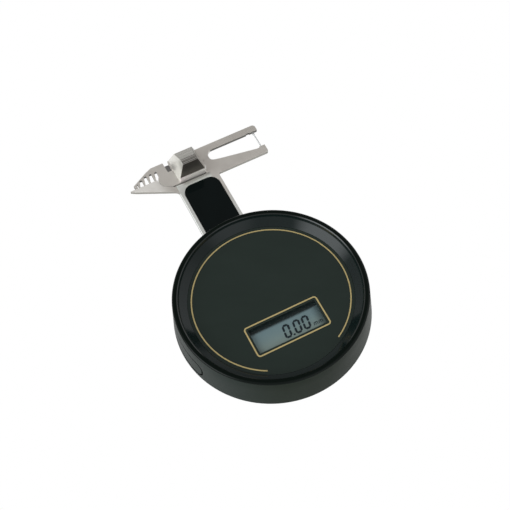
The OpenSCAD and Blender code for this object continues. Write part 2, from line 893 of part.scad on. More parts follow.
module board_spacers() {
    low = plate_z + board_t;
    color([0.85, 0.85, 0.8])
        for (y = spacer_places)
            post(spacer_x, y, low, spacer_d, board_z - low);
}

module stop_pin() {
    color([0.6, 0.6, 0.6])
        post(stop_x, stop_y, 0.1, stop_d, bar_top - 0.1);
}

module spring_post(y, low) {
    color([0.7, 0.6, 0.4])
        union() {
            post(spring_x, y, low, post_d, spring_z + 0.45 - low);
            post(spring_x, y, spring_z + 0.25, post_d + 0.6, 0.2);
        }
}

module fixed_spring_post() {
    spring_post(post_rear_y, plate_z + fit_gap);
}

module moving_spring_post() {
    spring_post(post_front_y, bar_z);
}

// A wound body with a wire loop round each post
module return_spring() {
    body_rear = post_rear_y + loop_r;
    body_front = post_front_y - loop_r;
    color([0.7, 0.7, 0.7])
        union() {
            translate([spring_x, body_front, spring_z])
                rotate([90, 0, 0])
                    linear_extrude(body_front - body_rear)
                        difference() {
                            circle(spring_r);
                            circle(spring_r - spring_wire);
                        }
            for (y = [post_rear_y, post_front_y])
                translate([spring_x, y, spring_z])
                    rotate_extrude()
                        translate([loop_r, 0])
                            circle(d = spring_wire, $fn = 16);
            for (y = [body_rear, body_front])
                translate([spring_x - spring_r + spring_wire / 2, y - spring_wire / 2,
                    spring_z - spring_wire / 2])
                    cube([2 * spring_r - spring_wire, spring_wire, spring_wire]);
        }
}

// Height of the top edge of the comb jaw above the end of the neck
function comb_edge(x) = contact_up + 1.45 + comb_slope * (x - comb_tip_x + 0.4);

// One slot of the comb: its right side is straight and its left side slants
module comb_slot(i) {
    right = comb_x - i * slot_pitch;
    next = i < slots - 1 ? comb_x - (i + 1) * slot_pitch : comb_tip_x + 0.1;
    left_top = i < slots - 1 ? next + tooth_root : next + 0.85;
    left_low = i < slots - 1 ? next + tooth_tip : next + 0.55;
    high = min(comb_top, comb_edge(left_top) - comb_back);
    low = contact_up - 0.65;
    foot = i == 0 ? [[right, 7.05], [comb_edge_x + seam_gap, low], [comb_edge_x, low - past]]
        : [[right, low]];
    polygon(concat([[left_top, high], [right, high]], foot, [[left_low, foot[len(foot) - 1].y]]));
}

// Corners of the moving plate, measured up from the end of the neck
function moving_plate() = outline([
    [comb_tip_x, contact_up + jaw_gap, 0],
    [comb_edge_x + seam_gap, contact_up + jaw_gap, 0],
    [comb_edge_x + seam_gap, contact_up - 0.65, 0],
    [-12.2 + seam_gap, 2.3 + seam_gap, 0],
    [-9.38 + seam_gap, front_gap + seam_gap, 0.3],
    [-9.1 + seam_gap, front_gap, 0],
    [cheek_x - 1.25 - seam_gap, front_gap, 0.2],
    [cheek_x - 0.7 - seam_gap, 1.9, 0],
    [cheek_x - 0.05 - seam_gap, cheek_up - 1.45, 0],
    [cheek_x - seam_gap, cheek_up + jaw_gap, 0],
    [root_x, root_up + jaw_gap, 0],
    [root_x, prong_low, 2.2],
    [prong_tip - prong_notch.x, prong_low, 0],
    [prong_tip - prong_notch.x, prong_low + 0.3, 0],
    [prong_tip - prong_notch.y, prong_low + 0.3, 0],
    [prong_tip - prong_notch.y, prong_low, 0],
    [prong_tip, prong_low, 0.4],
    [prong_tip, head_len - 0.1, 1.2],
    [-6.6, head_len - 0.1, 0.2],
    [-6.6, contact_up + 1.35, 0.2],
    [-8.2, contact_up + 1.35, 0.2],
    [-8.35, head_len, 0.2],
    [-13, head_len, 1.2],
    [-15.5, comb_edge(-15.5), 2],
    [comb_tip_x - 0.4, contact_up + 1.45, 0.2]
]);

module moving_jaw() {
    color([0.78, 0.77, 0.75])
        translate([0, neck_end, plate_z])
            difference() {
                linear_extrude(plate_t)
                    difference() {
                        polygon(moving_plate());
                        for (i = [0:slots - 1])
                            comb_slot(i);
                    }
                for (y = screw_places)
                    post(block_x, y - neck_end, -past, block_screw_d + 2 * fit_gap,
                        plate_t + 2 * past);
                translate([pin_x, prong_low - past, plate_t / 2])
                    rotate([-90, 0, 0])
                        cylinder(d = pin_d + fit_gap, h = past + pin_seat + 0.1, $fn = 32);
            }
}

// Side view of the thumb block as [y, z] from the front of its foot
function block_side() = [
    [0, 0], [0, foot_h], [foot_step, foot_h], [foot_step, block_h],
    [foot_step + top_len, block_h], [foot_step + top_len + rest_len, block_h - rest_drop],
    [head_len - front_gap - 0.1, 0]
];

module thumb_block() {
    slope = atan(rest_drop / rest_len);
    rest_side = rest_len / cos(slope);
    color([0.8, 0.8, 0.78])
        translate([block_x, block_y, neck_t])
            difference() {
                intersection() {
                    translate([-block_w / 2, 0, 0])
                        rotate([90, 0, 90])
                            linear_extrude(block_w)
                                polygon(block_side());
                    translate([0, head_len, 0])
                        rotate([90, 0, 0])
                            linear_extrude(head_len)
                                polygon([
                                    [-block_w / 2, 0], [block_w / 2, 0],
                                    [block_w / 2 - block_lean * block_h, block_h],
                                    [-block_w / 2 + block_lean * block_h, block_h]
                                ]);
                }
                for (i = [1:floor(top_len / rib_pitch)])
                    translate([0, foot_step + i * rib_pitch - rib_pitch / 4, block_h])
                        rib_cut();
                translate([0, foot_step + top_len, block_h])
                    rotate([-slope, 0, 0])
                        for (i = [0:floor(rest_side / rib_pitch) - 1])
                            translate([0, i * rib_pitch + rib_pitch / 2, 0])
                                rib_cut();
                for (y = screw_places)
                    post(0, y - block_y, -past, block_screw_d + fit_gap,
                        block_screw_top - neck_t + past + 0.3);
            }
}

// A groove with slanted sides across the block
module rib_cut() {
    half = rib_pitch / 4;
    translate([-block_w / 2, 0, 0])
        rotate([90, 0, 90])
            linear_extrude(block_w)
                polygon([
                    [-half * 1.3, 0.05], [half * 1.3, 0.05], [half * 0.6, -rib_depth],
                    [-half * 0.6, -rib_depth]
                ]);
}

module block_screws() {
    color([0.7, 0.7, 0.7])
        for (y = screw_places)
            difference() {
                union() {
                    post(block_x, y, bar_z, block_head_d, block_head_h - fit_gap);
                    post(block_x, y, bar_z, block_screw_d, block_screw_top - bar_z);
                }
                slab(block_x - block_head_d / 2, y - slot_half, bar_z - past, block_head_d,
                    2 * slot_half, past + slot_depth);
            }
}

// The pin has a collar below the prong
module probe_pin() {
    pin_len = prong_low + pin_seat - anvil_up - jaw_gap;
    color([0.8, 0.8, 0.8])
        translate([pin_x, neck_end + anvil_up + jaw_gap, plate_z + plate_t / 2])
            rotate([-90, 0, 0])
                union() {
                    cylinder(d = pin_d, h = pin_len, $fn = 32);
                    translate([0, 0, pin_len - pin_seat - collar_len])
                        cylinder(d = collar_d, h = collar_len - fit_gap, $fn = 32);
                }
}

front_case();
back_cover();
case_screws();
face_panel();
dial_ring();
display_frame();
display_window();
lcd_panel();
lcd_holder();
contact_strip();
main_board();
controller_chip();
timing_crystal();
board_capacitors();
board_screws();
plus_contact();
minus_contact();
battery_drawer();
coin_cell();
zero_button();
button_switch();
jaw_frame();
frame_screws();
neck_cover();
slide_bar();
scale_strip();
sensor_board();
board_header();
board_spacers();
stop_pin();
fixed_spring_post();
moving_spring_post();
return_spring();
moving_jaw();
thumb_block();
block_screws();
probe_pin();
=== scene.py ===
# %% [markdown]
# # A digital gemstone gauge
#
# A stone dealer holds this gauge in one hand. The thumb pushes a ribbed block, the jaws open, and the
# display shows how far in millimetres. The round case holds the electronics, and a steel neck carries
# the jaws.
#
# The construction model gives every piece its real size and place. This lesson dresses it: some of its
# pieces stay and get a finish, and others are modelled again with the rounded edges and small parts
# that show.

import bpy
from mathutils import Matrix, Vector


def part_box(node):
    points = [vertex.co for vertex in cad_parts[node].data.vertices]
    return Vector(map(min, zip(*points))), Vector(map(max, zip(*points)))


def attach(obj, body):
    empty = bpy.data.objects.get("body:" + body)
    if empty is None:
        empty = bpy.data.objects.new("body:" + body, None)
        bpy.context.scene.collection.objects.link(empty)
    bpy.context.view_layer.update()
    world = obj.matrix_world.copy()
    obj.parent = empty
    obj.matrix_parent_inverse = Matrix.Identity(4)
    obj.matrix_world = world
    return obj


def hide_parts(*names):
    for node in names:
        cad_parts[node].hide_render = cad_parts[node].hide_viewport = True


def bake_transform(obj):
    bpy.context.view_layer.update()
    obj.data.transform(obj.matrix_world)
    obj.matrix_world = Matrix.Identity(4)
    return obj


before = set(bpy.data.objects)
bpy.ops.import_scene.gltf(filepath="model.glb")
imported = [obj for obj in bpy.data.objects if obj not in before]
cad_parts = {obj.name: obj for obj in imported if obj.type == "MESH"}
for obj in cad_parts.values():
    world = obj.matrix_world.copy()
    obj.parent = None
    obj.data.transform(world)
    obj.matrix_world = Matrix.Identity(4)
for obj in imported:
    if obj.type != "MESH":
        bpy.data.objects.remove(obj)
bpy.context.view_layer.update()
print("pieces of the construction model:", len(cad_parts))

# %% [markdown]
# ## Units
#
# Blender measures in metres, and a gauge is drawn in millimetres. The sizes below are written in
# millimetres and turned into metres where a piece is made. A size that belongs to a piece of the
# construction model could be typed again, but it is read from that piece's box, so both always agree.

# %% Units and shared tools
import math

import bmesh
import bpy
from mathutils import Matrix, Vector

MM = 0.001
# Places of the axes in a corner
X, Y, Z = 0, 1, 2
CASE, SLIDE, DRAWER, BUTTON = "case", "slide", "drawer", "button"
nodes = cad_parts


def mm(*numbers):
    """A place or a direction written in millimetres"""
    return Vector(numbers) * MM


def box(node):
    """The lowest and the highest corner of a construction piece, in millimetres to a thousandth"""
    return [[round(value / MM, 3) for value in corner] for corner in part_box(node)]


print("corners of the case in millimetres:", box("front_case"))

# %% [markdown]
# ## Camera
#
# A photograph has a viewing angle, a distance and a lens. They could be guessed by eye, but the rim,
# the gold frame and the neck of the gauge have known sizes, so they fix all three. The camera looks
# down steeply from the front left, and it is rolled a little, which tilts the display in the picture.

# %% Camera
PHOTO_SIDE = 510
FOCAL_PIXELS = 989.75
SENSOR = 36
azimuth, elevation, roll = (math.radians(angle) for angle in (-20.670, 59.197, -6.463))
aim = mm(4.4617, 21.6251, 0)
distance = 331.57 * MM

back = Vector((
    math.sin(azimuth) * math.cos(elevation),
    -math.cos(azimuth) * math.cos(elevation),
    math.sin(elevation),
))
right = Vector((math.cos(azimuth), math.sin(azimuth), 0))
up = back.cross(right)
rolled_right = math.cos(roll) * right + math.sin(roll) * up
rolled_up = math.cos(roll) * up - math.sin(roll) * right

camera = bpy.data.objects.new("camera", bpy.data.cameras.new("camera"))
bpy.context.scene.collection.objects.link(camera)
axes = Matrix((rolled_right, rolled_up, back)).transposed().to_4x4()
camera.matrix_world = Matrix.Translation(aim + distance * back) @ axes
camera.data.sensor_width = SENSOR
camera.data.lens = SENSOR * FOCAL_PIXELS / PHOTO_SIDE
bpy.context.scene.camera = camera
bpy.context.scene.view_settings.view_transform = "Standard"
print("lens in millimetres:", round(camera.data.lens, 2))

# %% [markdown]
# ## A shader notebook
#
# A finish is a small calculation over the surface: where it is worn, where it is polished, how the
# grain runs. It could be drawn as a web of nodes. Written as sums and products it stays readable, so
# one small class lets Python's operators add the Math nodes, and one method adds any other node.


# %% Sockets that can be added and multiplied
class Wire:
    """The output of a node, which Python's operators turn into Math nodes"""

    def __init__(self, web, socket):
        self.web, self.socket = web, socket

    def maths(self, operation, *values):
        return self.web.node("ShaderNodeMath", {"operation": operation}, dict(enumerate(values)))

    def __add__(self, other):
        return self.maths("ADD", self, other)

    def __sub__(self, other):
        return self.maths("SUBTRACT", self, other)

    def __rsub__(self, other):
        return self.maths("SUBTRACT", other, self)

    def __mul__(self, other):
        return self.maths("MULTIPLY", self, other)

    def __truediv__(self, other):
        return self.maths("DIVIDE", self, other)

    def __gt__(self, other):
        return self.maths("GREATER_THAN", self, other)

    def __lt__(self, other):
        return self.maths("LESS_THAN", self, other)

    __radd__ = __add__
    __rmul__ = __mul__

    def at_least(self, other):
        return self.maths("MAXIMUM", self, other)

    def at_most(self, other):
        return self.maths("MINIMUM", self, other)

    def root(self):
        return self.maths("SQRT", self)

    def away(self, place):
        """Distance from a value"""
        return self.maths("ABSOLUTE", self - place)

    def zigzag(self, half):
        """Rises from 0 to 1 over half a wave, and falls again over the other half"""
        return self.maths("PINGPONG", self, half) / half


print("sockets can be added, multiplied and compared")

# %% [markdown]
# A web of nodes belongs to a material or to the sky, and both need the same few moves: add a node, read
# the place on the surface, spread a noise over it, turn one range of values into another, blend. Noise
# is sized in millimetres, so that the grain of a finish can be compared with the real thing.


# %% A web of nodes
class Web:
    """The nodes of a material or of the sky"""

    def __init__(self, tree):
        self.tree = tree

    def feed(self, socket, value):
        """Links a wire to a socket, or sets the socket to a number or a colour"""
        if isinstance(value, Wire):
            self.tree.links.new(value.socket, socket)
        elif isinstance(value, (tuple, list)) and socket.type == "RGBA":
            socket.default_value = (*value, 1)
        else:
            socket.default_value = value

    def node(self, kind, settings=None, values=None, output=0):
        """Adds a node, sets it, feeds it, and returns one of its outputs"""
        made = self.tree.nodes.new(kind)
        for label, value in (settings or {}).items():
            setattr(made, label, value)
        for label, value in (values or {}).items():
            self.feed(made.inputs[label], value)
        return Wire(self, made.outputs[output])

    def parts(self, vector):
        """X, Y and Z of a vector"""
        split = self.tree.nodes.new("ShaderNodeSeparateXYZ")
        self.feed(split.inputs[0], vector)
        return [Wire(self, socket) for socket in split.outputs]

    def place(self):
        """X, Y and Z of the surface in millimetres"""
        return [part * (1 / MM) for part in self.parts(self.node("ShaderNodeTexCoord", output="Object"))]

    def spot(self, size=(1, 1, 1), turn=0.0):
        """Object coordinates with one unit to each size in millimetres, turned about Z first"""
        point = self.node("ShaderNodeTexCoord", output="Object")
        if turn:
            point = self.node(
                "ShaderNodeVectorRotate", {"rotation_type": "Z_AXIS"}, {"Vector": point, "Angle": turn}
            )
        scale = [1 / MM / part for part in size]
        return self.node("ShaderNodeMapping", {}, {"Vector": point, "Scale": scale})

    def noise(self, size, detail=2.0, turn=0.0):
        """A noise from 0 to 1 whose cells have a size in millimetres, alike or different along X, Y and Z"""
        sizes = size if isinstance(size, tuple) else (size,) * 3
        return self.node(
            "ShaderNodeTexNoise", {}, {"Vector": self.spot(sizes, turn), "Scale": 1.0, "Detail": detail}
        )

    def between(self, value, low, high, end=1.0):
        """Rises smoothly from 0 at low to the end value at high"""
        return self.node(
            "ShaderNodeMapRange", {"interpolation_type": "SMOOTHSTEP"},
            {"Value": value, "From Min": low, "From Max": high, "To Min": 0.0, "To Max": end},
        )

    def mix(self, share, first, second):
        """Blends two colours"""
        made = self.tree.nodes.new("ShaderNodeMix")
        made.data_type = "RGBA"
        for place, value in ((0, share), (6, first), (7, second)):
            self.feed(made.inputs[place], value)
        return Wire(self, made.outputs[2])

    def tint(self, value, red, green, blue):
        """A colour whose three parts are shares of one level"""
        return self.node("ShaderNodeCombineXYZ", {}, {0: value * red, 1: value * green, 2: value * blue})

    def bump(self, height, depth):
        """A relief whose full height is a depth in millimetres"""
        return self.node("ShaderNodeBump", {}, {"Height": height, "Distance": depth * MM, "Strength": 1.0})


print("a web of nodes is ready")

# %% [markdown]
# A finish is such a web with one shader at its end. The Principled shader is used for every piece,
# because plastic, foil, glass and steel are only different settings of it. Colours are written in the
# levels of a screen, from 0 to 255, as one reads them from a picture.


# %% A finish
class Finish(Web):
    """A material with one Principled shader and the nodes that feed it"""

    def __init__(self, name, **sockets):
        self.material = bpy.data.materials.new(name)
        self.material.use_nodes = True
        super().__init__(self.material.node_tree)
        self.skin = self.tree.nodes["Principled BSDF"]
        self.set(**sockets)

    def set(self, **sockets):
        """Feeds the shader's sockets, named with _ for a space"""
        for label, value in sockets.items():
            self.feed(self.skin.inputs[label.replace("_", " ")], value)


def tone(*levels):
    """A colour written in screen levels from 0 to 255, as linear light"""
    shares = [level / 255 for level in levels]
    return tuple(
        share / 12.92 if share < 0.04045 else ((share + 0.055) / 1.055) ** 2.4 for share in shares
    )


def dress(piece, finish):
    """Gives a piece one finish"""
    piece.data.materials.clear()
    piece.data.materials.append(finish.material)


print("a mid grey in linear light:", round(tone(128)[0], 3))

# %% [markdown]
# ## Floor and light
#
# A catalogue picture of a small instrument is taken on white board, under a bright ceiling that is kept
# away from the mirror direction of the dial, so that the black parts stay black. The floor could be lit
# until it is white, but then the gauge would be too bright. Instead it shows as white to the lens and
# to mirrors, and stays plain paper for the light that falls on the gauge.

# %% Floor
FLOOR_SIDE = 4.0
FLOOR_DROP = 0.05 * MM
bpy.ops.object.select_all(action="DESELECT")
bpy.ops.mesh.primitive_plane_add(size=FLOOR_SIDE, location=(0, 0, -FLOOR_DROP))
floor = bpy.context.object
floor.name = "floor"
paper = Finish("white_board", Base_Color=tone(232, 232, 231), Roughness=0.9, Specular_IOR_Level=0.1)
camera_ray, glossy_ray, clear_ray = (
    paper.node("ShaderNodeLightPath", output=name)
    for name in ("Is Camera Ray", "Is Glossy Ray", "Is Transmission Ray")
)
seen = camera_ray.at_least(glossy_ray).at_least(clear_ray)
white = paper.node("ShaderNodeEmission", {}, {"Color": (1, 1, 1), "Strength": 1.0})
shaded = Wire(paper, paper.skin.outputs[0])
mixed = paper.node("ShaderNodeMixShader", {}, {0: seen, 1: shaded, 2: white})
paper.feed(paper.tree.nodes["Material Output"].inputs[0], mixed)
dress(floor, paper)
print("floor side in metres:", FLOOR_SIDE)

# %% [markdown]
# The light could come from lamps, but polished plastic mirrors the edges of lamps. A sky has no edges.
# It is nearly even, with three soft bright areas, which the bevel of the case and the side wall mirror,
# and one dim area, which the dial mirrors to the lens. The lens itself sees plain white.

# %% Sky
HORIZON, MIDDLE, ZENITH = (0.74, 0.74, 0.74), (0.78, 0.78, 0.79), (0.76, 0.76, 0.77)
COOL_WHITE = (0.95, 1.0, 1.03)
# Each area has a direction, the angles within which it is full and at which it ends, and its light
AREAS = (
    ((0.18, 0.50, 0.85), 10, 36, -0.49),
    ((-0.84, -0.04, 0.51), 8, 30, 4.6),
    ((0.20, -0.85, 0.45), 6, 28, 0.8),
    ((0.85, 0.20, 0.48), 8, 46, 0.5),
)
world = bpy.data.worlds.new("studio")
bpy.context.scene.world = world
world.use_nodes = True
sky = Web(world.node_tree)
towards = sky.node("ShaderNodeTexCoord", output="Generated")
slope = sky.tree.nodes.new("ShaderNodeValToRGB")
slope.color_ramp.elements.new(0.5)
for stop, place, colour in zip(slope.color_ramp.elements, (0.0, 0.5, 1.0), (HORIZON, MIDDLE, ZENITH)):
    stop.position, stop.color = place, (*colour, 1)
sky.feed(slope.inputs[0], sky.parts(towards)[Z])
light = Wire(sky, slope.outputs[0])
for direction, full, end, strength in AREAS:
    middle = Vector(direction).normalized()
    near = sky.node("ShaderNodeVectorMath", {"operation": "DOT_PRODUCT"}, {0: towards, 1: middle}, "Value")
    glow = sky.between(near, math.cos(math.radians(end)), math.cos(math.radians(full)), strength)
    added = sky.tint(glow, *COOL_WHITE)
    light = sky.node("ShaderNodeVectorMath", {"operation": "ADD"}, {0: light, 1: added})
light = sky.mix(sky.node("ShaderNodeLightPath", output="Is Camera Ray"), light, (1, 1, 1))
sky.feed(sky.tree.nodes["Background"].inputs[0], light)
print("soft areas in the sky:", len(AREAS))

# %% [markdown]
# ## Modelling tools
#
# Every piece is modelled by the same few moves. One object is selected alone, a modifier is added and
# applied, edges catch the light through a small bevel, and the finished piece is tied to the body that
# carries it.


# %% Selection and modifiers
def alone(piece):
    """Selects one object and nothing else"""
    bpy.ops.object.select_all(action="DESELECT")
    piece.select_set(True)
    bpy.context.view_layer.objects.active = piece


def modify(piece, kind, **settings):
    """Adds a modifier and applies it"""
    alone(piece)
    step = piece.modifiers.new(kind, kind)
    for label, value in settings.items():
        setattr(step, label, value)
    bpy.ops.object.modifier_apply(modifier=step.name)


def edit(piece):
    """Opens a piece in edit mode with all its points selected"""
    alone(piece)
    bpy.ops.object.mode_set(mode="EDIT")
    bpy.ops.mesh.select_mode(type="VERT")
    bpy.ops.mesh.select_all(action="SELECT")


def leave():
    """Goes back to object mode"""
    bpy.ops.object.mode_set(mode="OBJECT")


def settle(piece):
    """Moves a piece's place, turn and scale into its mesh"""
    alone(piece)
    bpy.ops.object.transform_apply(location=True, rotation=True, scale=True)


def smooth(piece, angle):
    """Shades a piece smooth, but keeps edges sharper than an angle in degrees"""
    alone(piece)
    bpy.ops.object.shade_smooth_by_angle(angle=math.radians(angle))


def join(pieces):
    """Joins a list of pieces into its first piece"""
    bpy.ops.object.select_all(action="DESELECT")
    for piece in pieces:
        piece.select_set(True)
    bpy.context.view_layer.objects.active = pieces[0]
    bpy.ops.object.join()
    return pieces[0]


def carry(piece, body, finish, slot, *stands_for):
    """Gives a finished piece its finish and ties it to the body that it moves with"""
    settle(piece)
    dress(piece, finish)
    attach(piece, body)
    if stands_for:
        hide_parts(*stands_for)
    print(piece.name, len(piece.data.polygons), "faces")


print("modelling tools ready")

# %% [markdown]
# Most pieces already have the right shape in the construction model. It comes as loose triangles with
# knife edges, which no real piece has. Such a piece could be modelled from nothing, but a copy with its
# corners joined and its edges rounded keeps every size and catches the light as the real one does.

# %% A refined copy of a construction piece
MERGE = 0.002 * MM
FLAT = math.radians(1.0)
SHARP = math.radians(32)


def refined(node, name, edge):
    """Copies a construction piece, joins its triangles, and rounds its edges to a size in millimetres"""
    piece = bpy.data.objects.new(name, nodes[node].data.copy())
    bpy.context.scene.collection.objects.link(piece)
    edit(piece)
    bpy.ops.mesh.remove_doubles(threshold=MERGE)
    bpy.ops.mesh.dissolve_limited(angle_limit=FLAT)
    leave()
    modify(piece, "BEVEL", width=edge * MM, segments=2, limit_method="ANGLE", angle_limit=SHARP)
    smooth(piece, 50)
    modify(piece, "WEIGHTED_NORMAL", weight=100, keep_sharp=True)
    return piece


print("a copy is merged at", MERGE / MM, "mm")

# %% [markdown]
# ## The case
#
# The case is one moulding of black plastic: a leaning side wall with a fine satin texture, a rounded
# rim that is polished like the step and the bevel inside it, and a deck under the dial. It could be
# sculpted, but anything round is cleaner when half of its section is drawn and spun.


# %% A turned piece
def turned(name, corners, steps):
    """Draws half of a section in millimetres, which starts and ends on the axis, and spins it"""
    bpy.ops.object.select_all(action="DESELECT")
    bpy.ops.mesh.primitive_plane_add(size=MM, location=mm(corners[0][0], 0, corners[0][1]))
    piece = bpy.context.object
    piece.name = name
    edit(piece)
    bpy.ops.mesh.merge(type="CENTER")
    for (from_r, from_z), (to_r, to_z) in zip(corners, corners[1:]):
        bpy.ops.mesh.extrude_region_move(
            TRANSFORM_OT_translate={"value": mm(to_r - from_r, 0, to_z - from_z)}
        )
    bpy.ops.mesh.select_all(action="SELECT")
    bpy.ops.mesh.spin(steps=steps, angle=math.tau, center=(0, 0, 0), axis=(0, 0, 1))
    bpy.ops.mesh.select_all(action="SELECT")
    bpy.ops.mesh.remove_doubles(threshold=MERGE)
    bpy.ops.mesh.normals_make_consistent(inside=False)
    leave()
    settle(piece)
    return piece


print("a section can be spun")

# %% [markdown]
# The section starts in the middle of the deck's underside. It runs out to the wall, down into the seat
# of the back cover, up the leaning outside, over the rim, down the step and the bevel, and back along
# the deck. The rim's inner corner has a chamfer, which shows as a fine line, and the step's foot has a
# curve.

# %% Section of the case
GAP = 0.05
BASE_R, TOP_R, RIM_ROUND, FOOT, EASE = 32.1, 31.05, 0.7, 0.25, 0.22
RIM_IN, STEP_R, STEP_Z, INNER_R, COVER_T = 29.3, 29.0, 11.6, 29.4, 1.2
CASE_H = box("front_case")[1][Z]
dial_low, dial_high = box("face_panel")
DIAL_R, DIAL_Z, DECK_TOP = dial_high[X] + GAP, dial_high[Z], dial_low[Z]
DECK_LOW = box("lcd_holder")[1][Z] + GAP
SEAT_R = box("back_cover")[1][X] + GAP


def wall_r(z):
    """Radius of the leaning side wall at a height"""
    return BASE_R - (BASE_R - TOP_R) * z / CASE_H


def softened(before, corner, after, steps):
    """Cuts one corner of a section, EASE away from it on both sides: one step is a chamfer, more a curve"""
    before, corner, after = (Vector(place) for place in (before, corner, after))
    start = corner + (before - corner).normalized() * EASE
    end = corner + (after - corner).normalized() * EASE
    shares = [step / steps for step in range(steps + 1)]
    return [tuple(start.lerp(corner, share).lerp(corner.lerp(end, share), share)) for share in shares]


middle_r, middle_z = wall_r(CASE_H - RIM_ROUND) - RIM_ROUND, CASE_H - RIM_ROUND
rounding = [
    (middle_r + RIM_ROUND * math.cos(angle), middle_z + RIM_ROUND * math.sin(angle))
    for angle in map(math.radians, range(5, 91, 12))
]
section = [
    (0, DECK_LOW), (INNER_R, DECK_LOW), (INNER_R, COVER_T), (SEAT_R, COVER_T), (SEAT_R, 0),
    (BASE_R - FOOT, 0), *((wall_r(z), z) for z in (FOOT, 4, 8)), *rounding,
    *softened(rounding[-1], (RIM_IN, CASE_H), (STEP_R, STEP_Z), 1),
    *softened((RIM_IN, CASE_H), (STEP_R, STEP_Z), (DIAL_R, DIAL_Z), 4),
    (DIAL_R, DIAL_Z), (DIAL_R, DECK_TOP), (0, DECK_TOP),
]
FACETS = 288
shell = turned("case_shell", section, FACETS)
print("case section has", len(section), "corners")

# %% [markdown]
# Openings could be modelled into the wall, but cutting them out keeps the wall round. A cutter is a
# block with four rounded edges, or a cylinder.


# %% Cutters
def block(name, low, high, radius=0.0):
    """A block between two corners in millimetres, with its edges along X rounded"""
    bpy.ops.object.select_all(action="DESELECT")
    low, high = Vector(low), Vector(high)
    bpy.ops.mesh.primitive_cube_add(size=1, location=(low + high) / 2 * MM)
    piece = bpy.context.object
    piece.name = name
    piece.scale = (high - low) * MM
    settle(piece)
    if radius:
        edit(piece)
        bpy.ops.mesh.select_mode(type="EDGE")
        bpy.ops.mesh.select_all(action="DESELECT")
        shape = bmesh.from_edit_mesh(piece.data)
        for line in shape.edges:
            run = line.verts[1].co - line.verts[0].co
            line.select_set(abs(run.x) > 0.9 * run.length)
        bmesh.update_edit_mesh(piece.data)
        bpy.ops.mesh.bevel(offset=radius * MM, segments=8)
        leave()
    return piece


def rod(name, radius, start, end, sides=48):
    """A cylinder between two places in millimetres"""
    start, end = mm(*start), mm(*end)
    bpy.ops.object.select_all(action="DESELECT")
    bpy.ops.mesh.primitive_cylinder_add(
        vertices=sides, radius=radius * MM, depth=(end - start).length, location=(start + end) / 2,
        rotation=(end - start).to_track_quat("Z", "Y").to_euler(),
    )
    piece = bpy.context.object
    piece.name = name
    settle(piece)
    return piece


def combine(piece, operation, *tools):
    """Adds the tools' shapes to a piece or takes them out of it, and deletes the tools"""
    for tool in tools:
        modify(piece, "BOOLEAN", operation=operation, object=tool, solver="EXACT")
        bpy.data.objects.remove(tool)


print("cutters ready")

# %% [markdown]
# The drawer needs a rounded opening on the left, the neck a plain one at the far end, the button a
# round one at thirty degrees, and the display one in the deck. Each could end on the surface, but that
# leaves shreds, so each cutter reaches past it.

# %% Openings of the case
DRAWER_CORNER, SEAM, RAIL_W, PAST = 2.4, 0.28, 1.25, 1
BUTTON_R, BUTTON_PLAY = 2.0, 0.06
DRAWER_DEEP, NECK_DEEP, BUTTON_DEEP, BUTTON_FAR = -26.4, 1, 28, 34
BUTTON_TURN = math.radians(30)
drawer_low, drawer_high = box("battery_drawer")
DRAWER_Y, DRAWER_LOW, DRAWER_HIGH = drawer_high[Y], drawer_low[Z], drawer_high[Z]
inlay_low, inlay_high = box("neck_cover")
NECK_LEFT, NECK_RIGHT = inlay_low[X] - GAP - RAIL_W, inlay_high[X] + GAP + RAIL_W
NECK_T = box("jaw_frame")[1][Z]
glass_low, glass_high = box("lcd_panel")
button_low, button_high = box("zero_button")
button_out = Vector((math.cos(BUTTON_TURN), math.sin(BUTTON_TURN), 0))
button_up = Vector((0, 0, (button_low[Z] + button_high[Z]) / 2))
combine(
    shell, "DIFFERENCE",
    block("cut_drawer", (-BASE_R - PAST, -DRAWER_Y - SEAM, DRAWER_LOW - SEAM),
          (DRAWER_DEEP, DRAWER_Y + SEAM, DRAWER_HIGH + SEAM), DRAWER_CORNER + SEAM),
    block("cut_neck", (NECK_LEFT - GAP, NECK_DEEP, -PAST), (NECK_RIGHT + GAP, BASE_R + PAST, NECK_T + GAP)),
    block("cut_glass", (glass_low[X] - GAP, glass_low[Y] - GAP, DECK_LOW - PAST),
          (glass_high[X] + GAP, glass_high[Y] + GAP, DECK_TOP + PAST)),
    rod("cut_button", BUTTON_R + BUTTON_PLAY, button_out * BUTTON_DEEP + button_up,
        button_out * BUTTON_FAR + button_up),
)
smooth(shell, 32)
print("case faces after the cuts:", len(shell.data.polygons))

# %% [markdown]
# ### Black plastic
#
# A moulded case is as glossy as the steel that it was moulded in. Here the side wall comes from a
# blasted mould and is satin with a fine grain, while the rim, the step and the bevel come from polished
# steel. Two materials on one moulding would need a seam between them. One material that reads the
# height and the radius does it alone, and it paints shade into the gap round the drawer as well.

# %% Finish of the case
DRAWER_MIDDLE, DRAWER_REACH = (DRAWER_LOW + DRAWER_HIGH) / 2, (DRAWER_HIGH - DRAWER_LOW) / 2
RIM_FLAT = CASE_H - 0.3


def drawer_gap_shade(finish, x, y, z, radius):
    """1 along the gap round the drawer, where shade is painted; its outline is a rectangle with round
    corners
    """
    aside = (y.away(0) - DRAWER_Y + DRAWER_CORNER).at_least(0)
    above = (z.away(DRAWER_MIDDLE) - DRAWER_REACH + DRAWER_CORNER).at_least(0)
    from_line = (aside * aside + above * above).root().away(DRAWER_CORNER + SEAM / 2)
    return finish.between(from_line, 0.34, 0.2) * (x < -20) * (radius > 28)


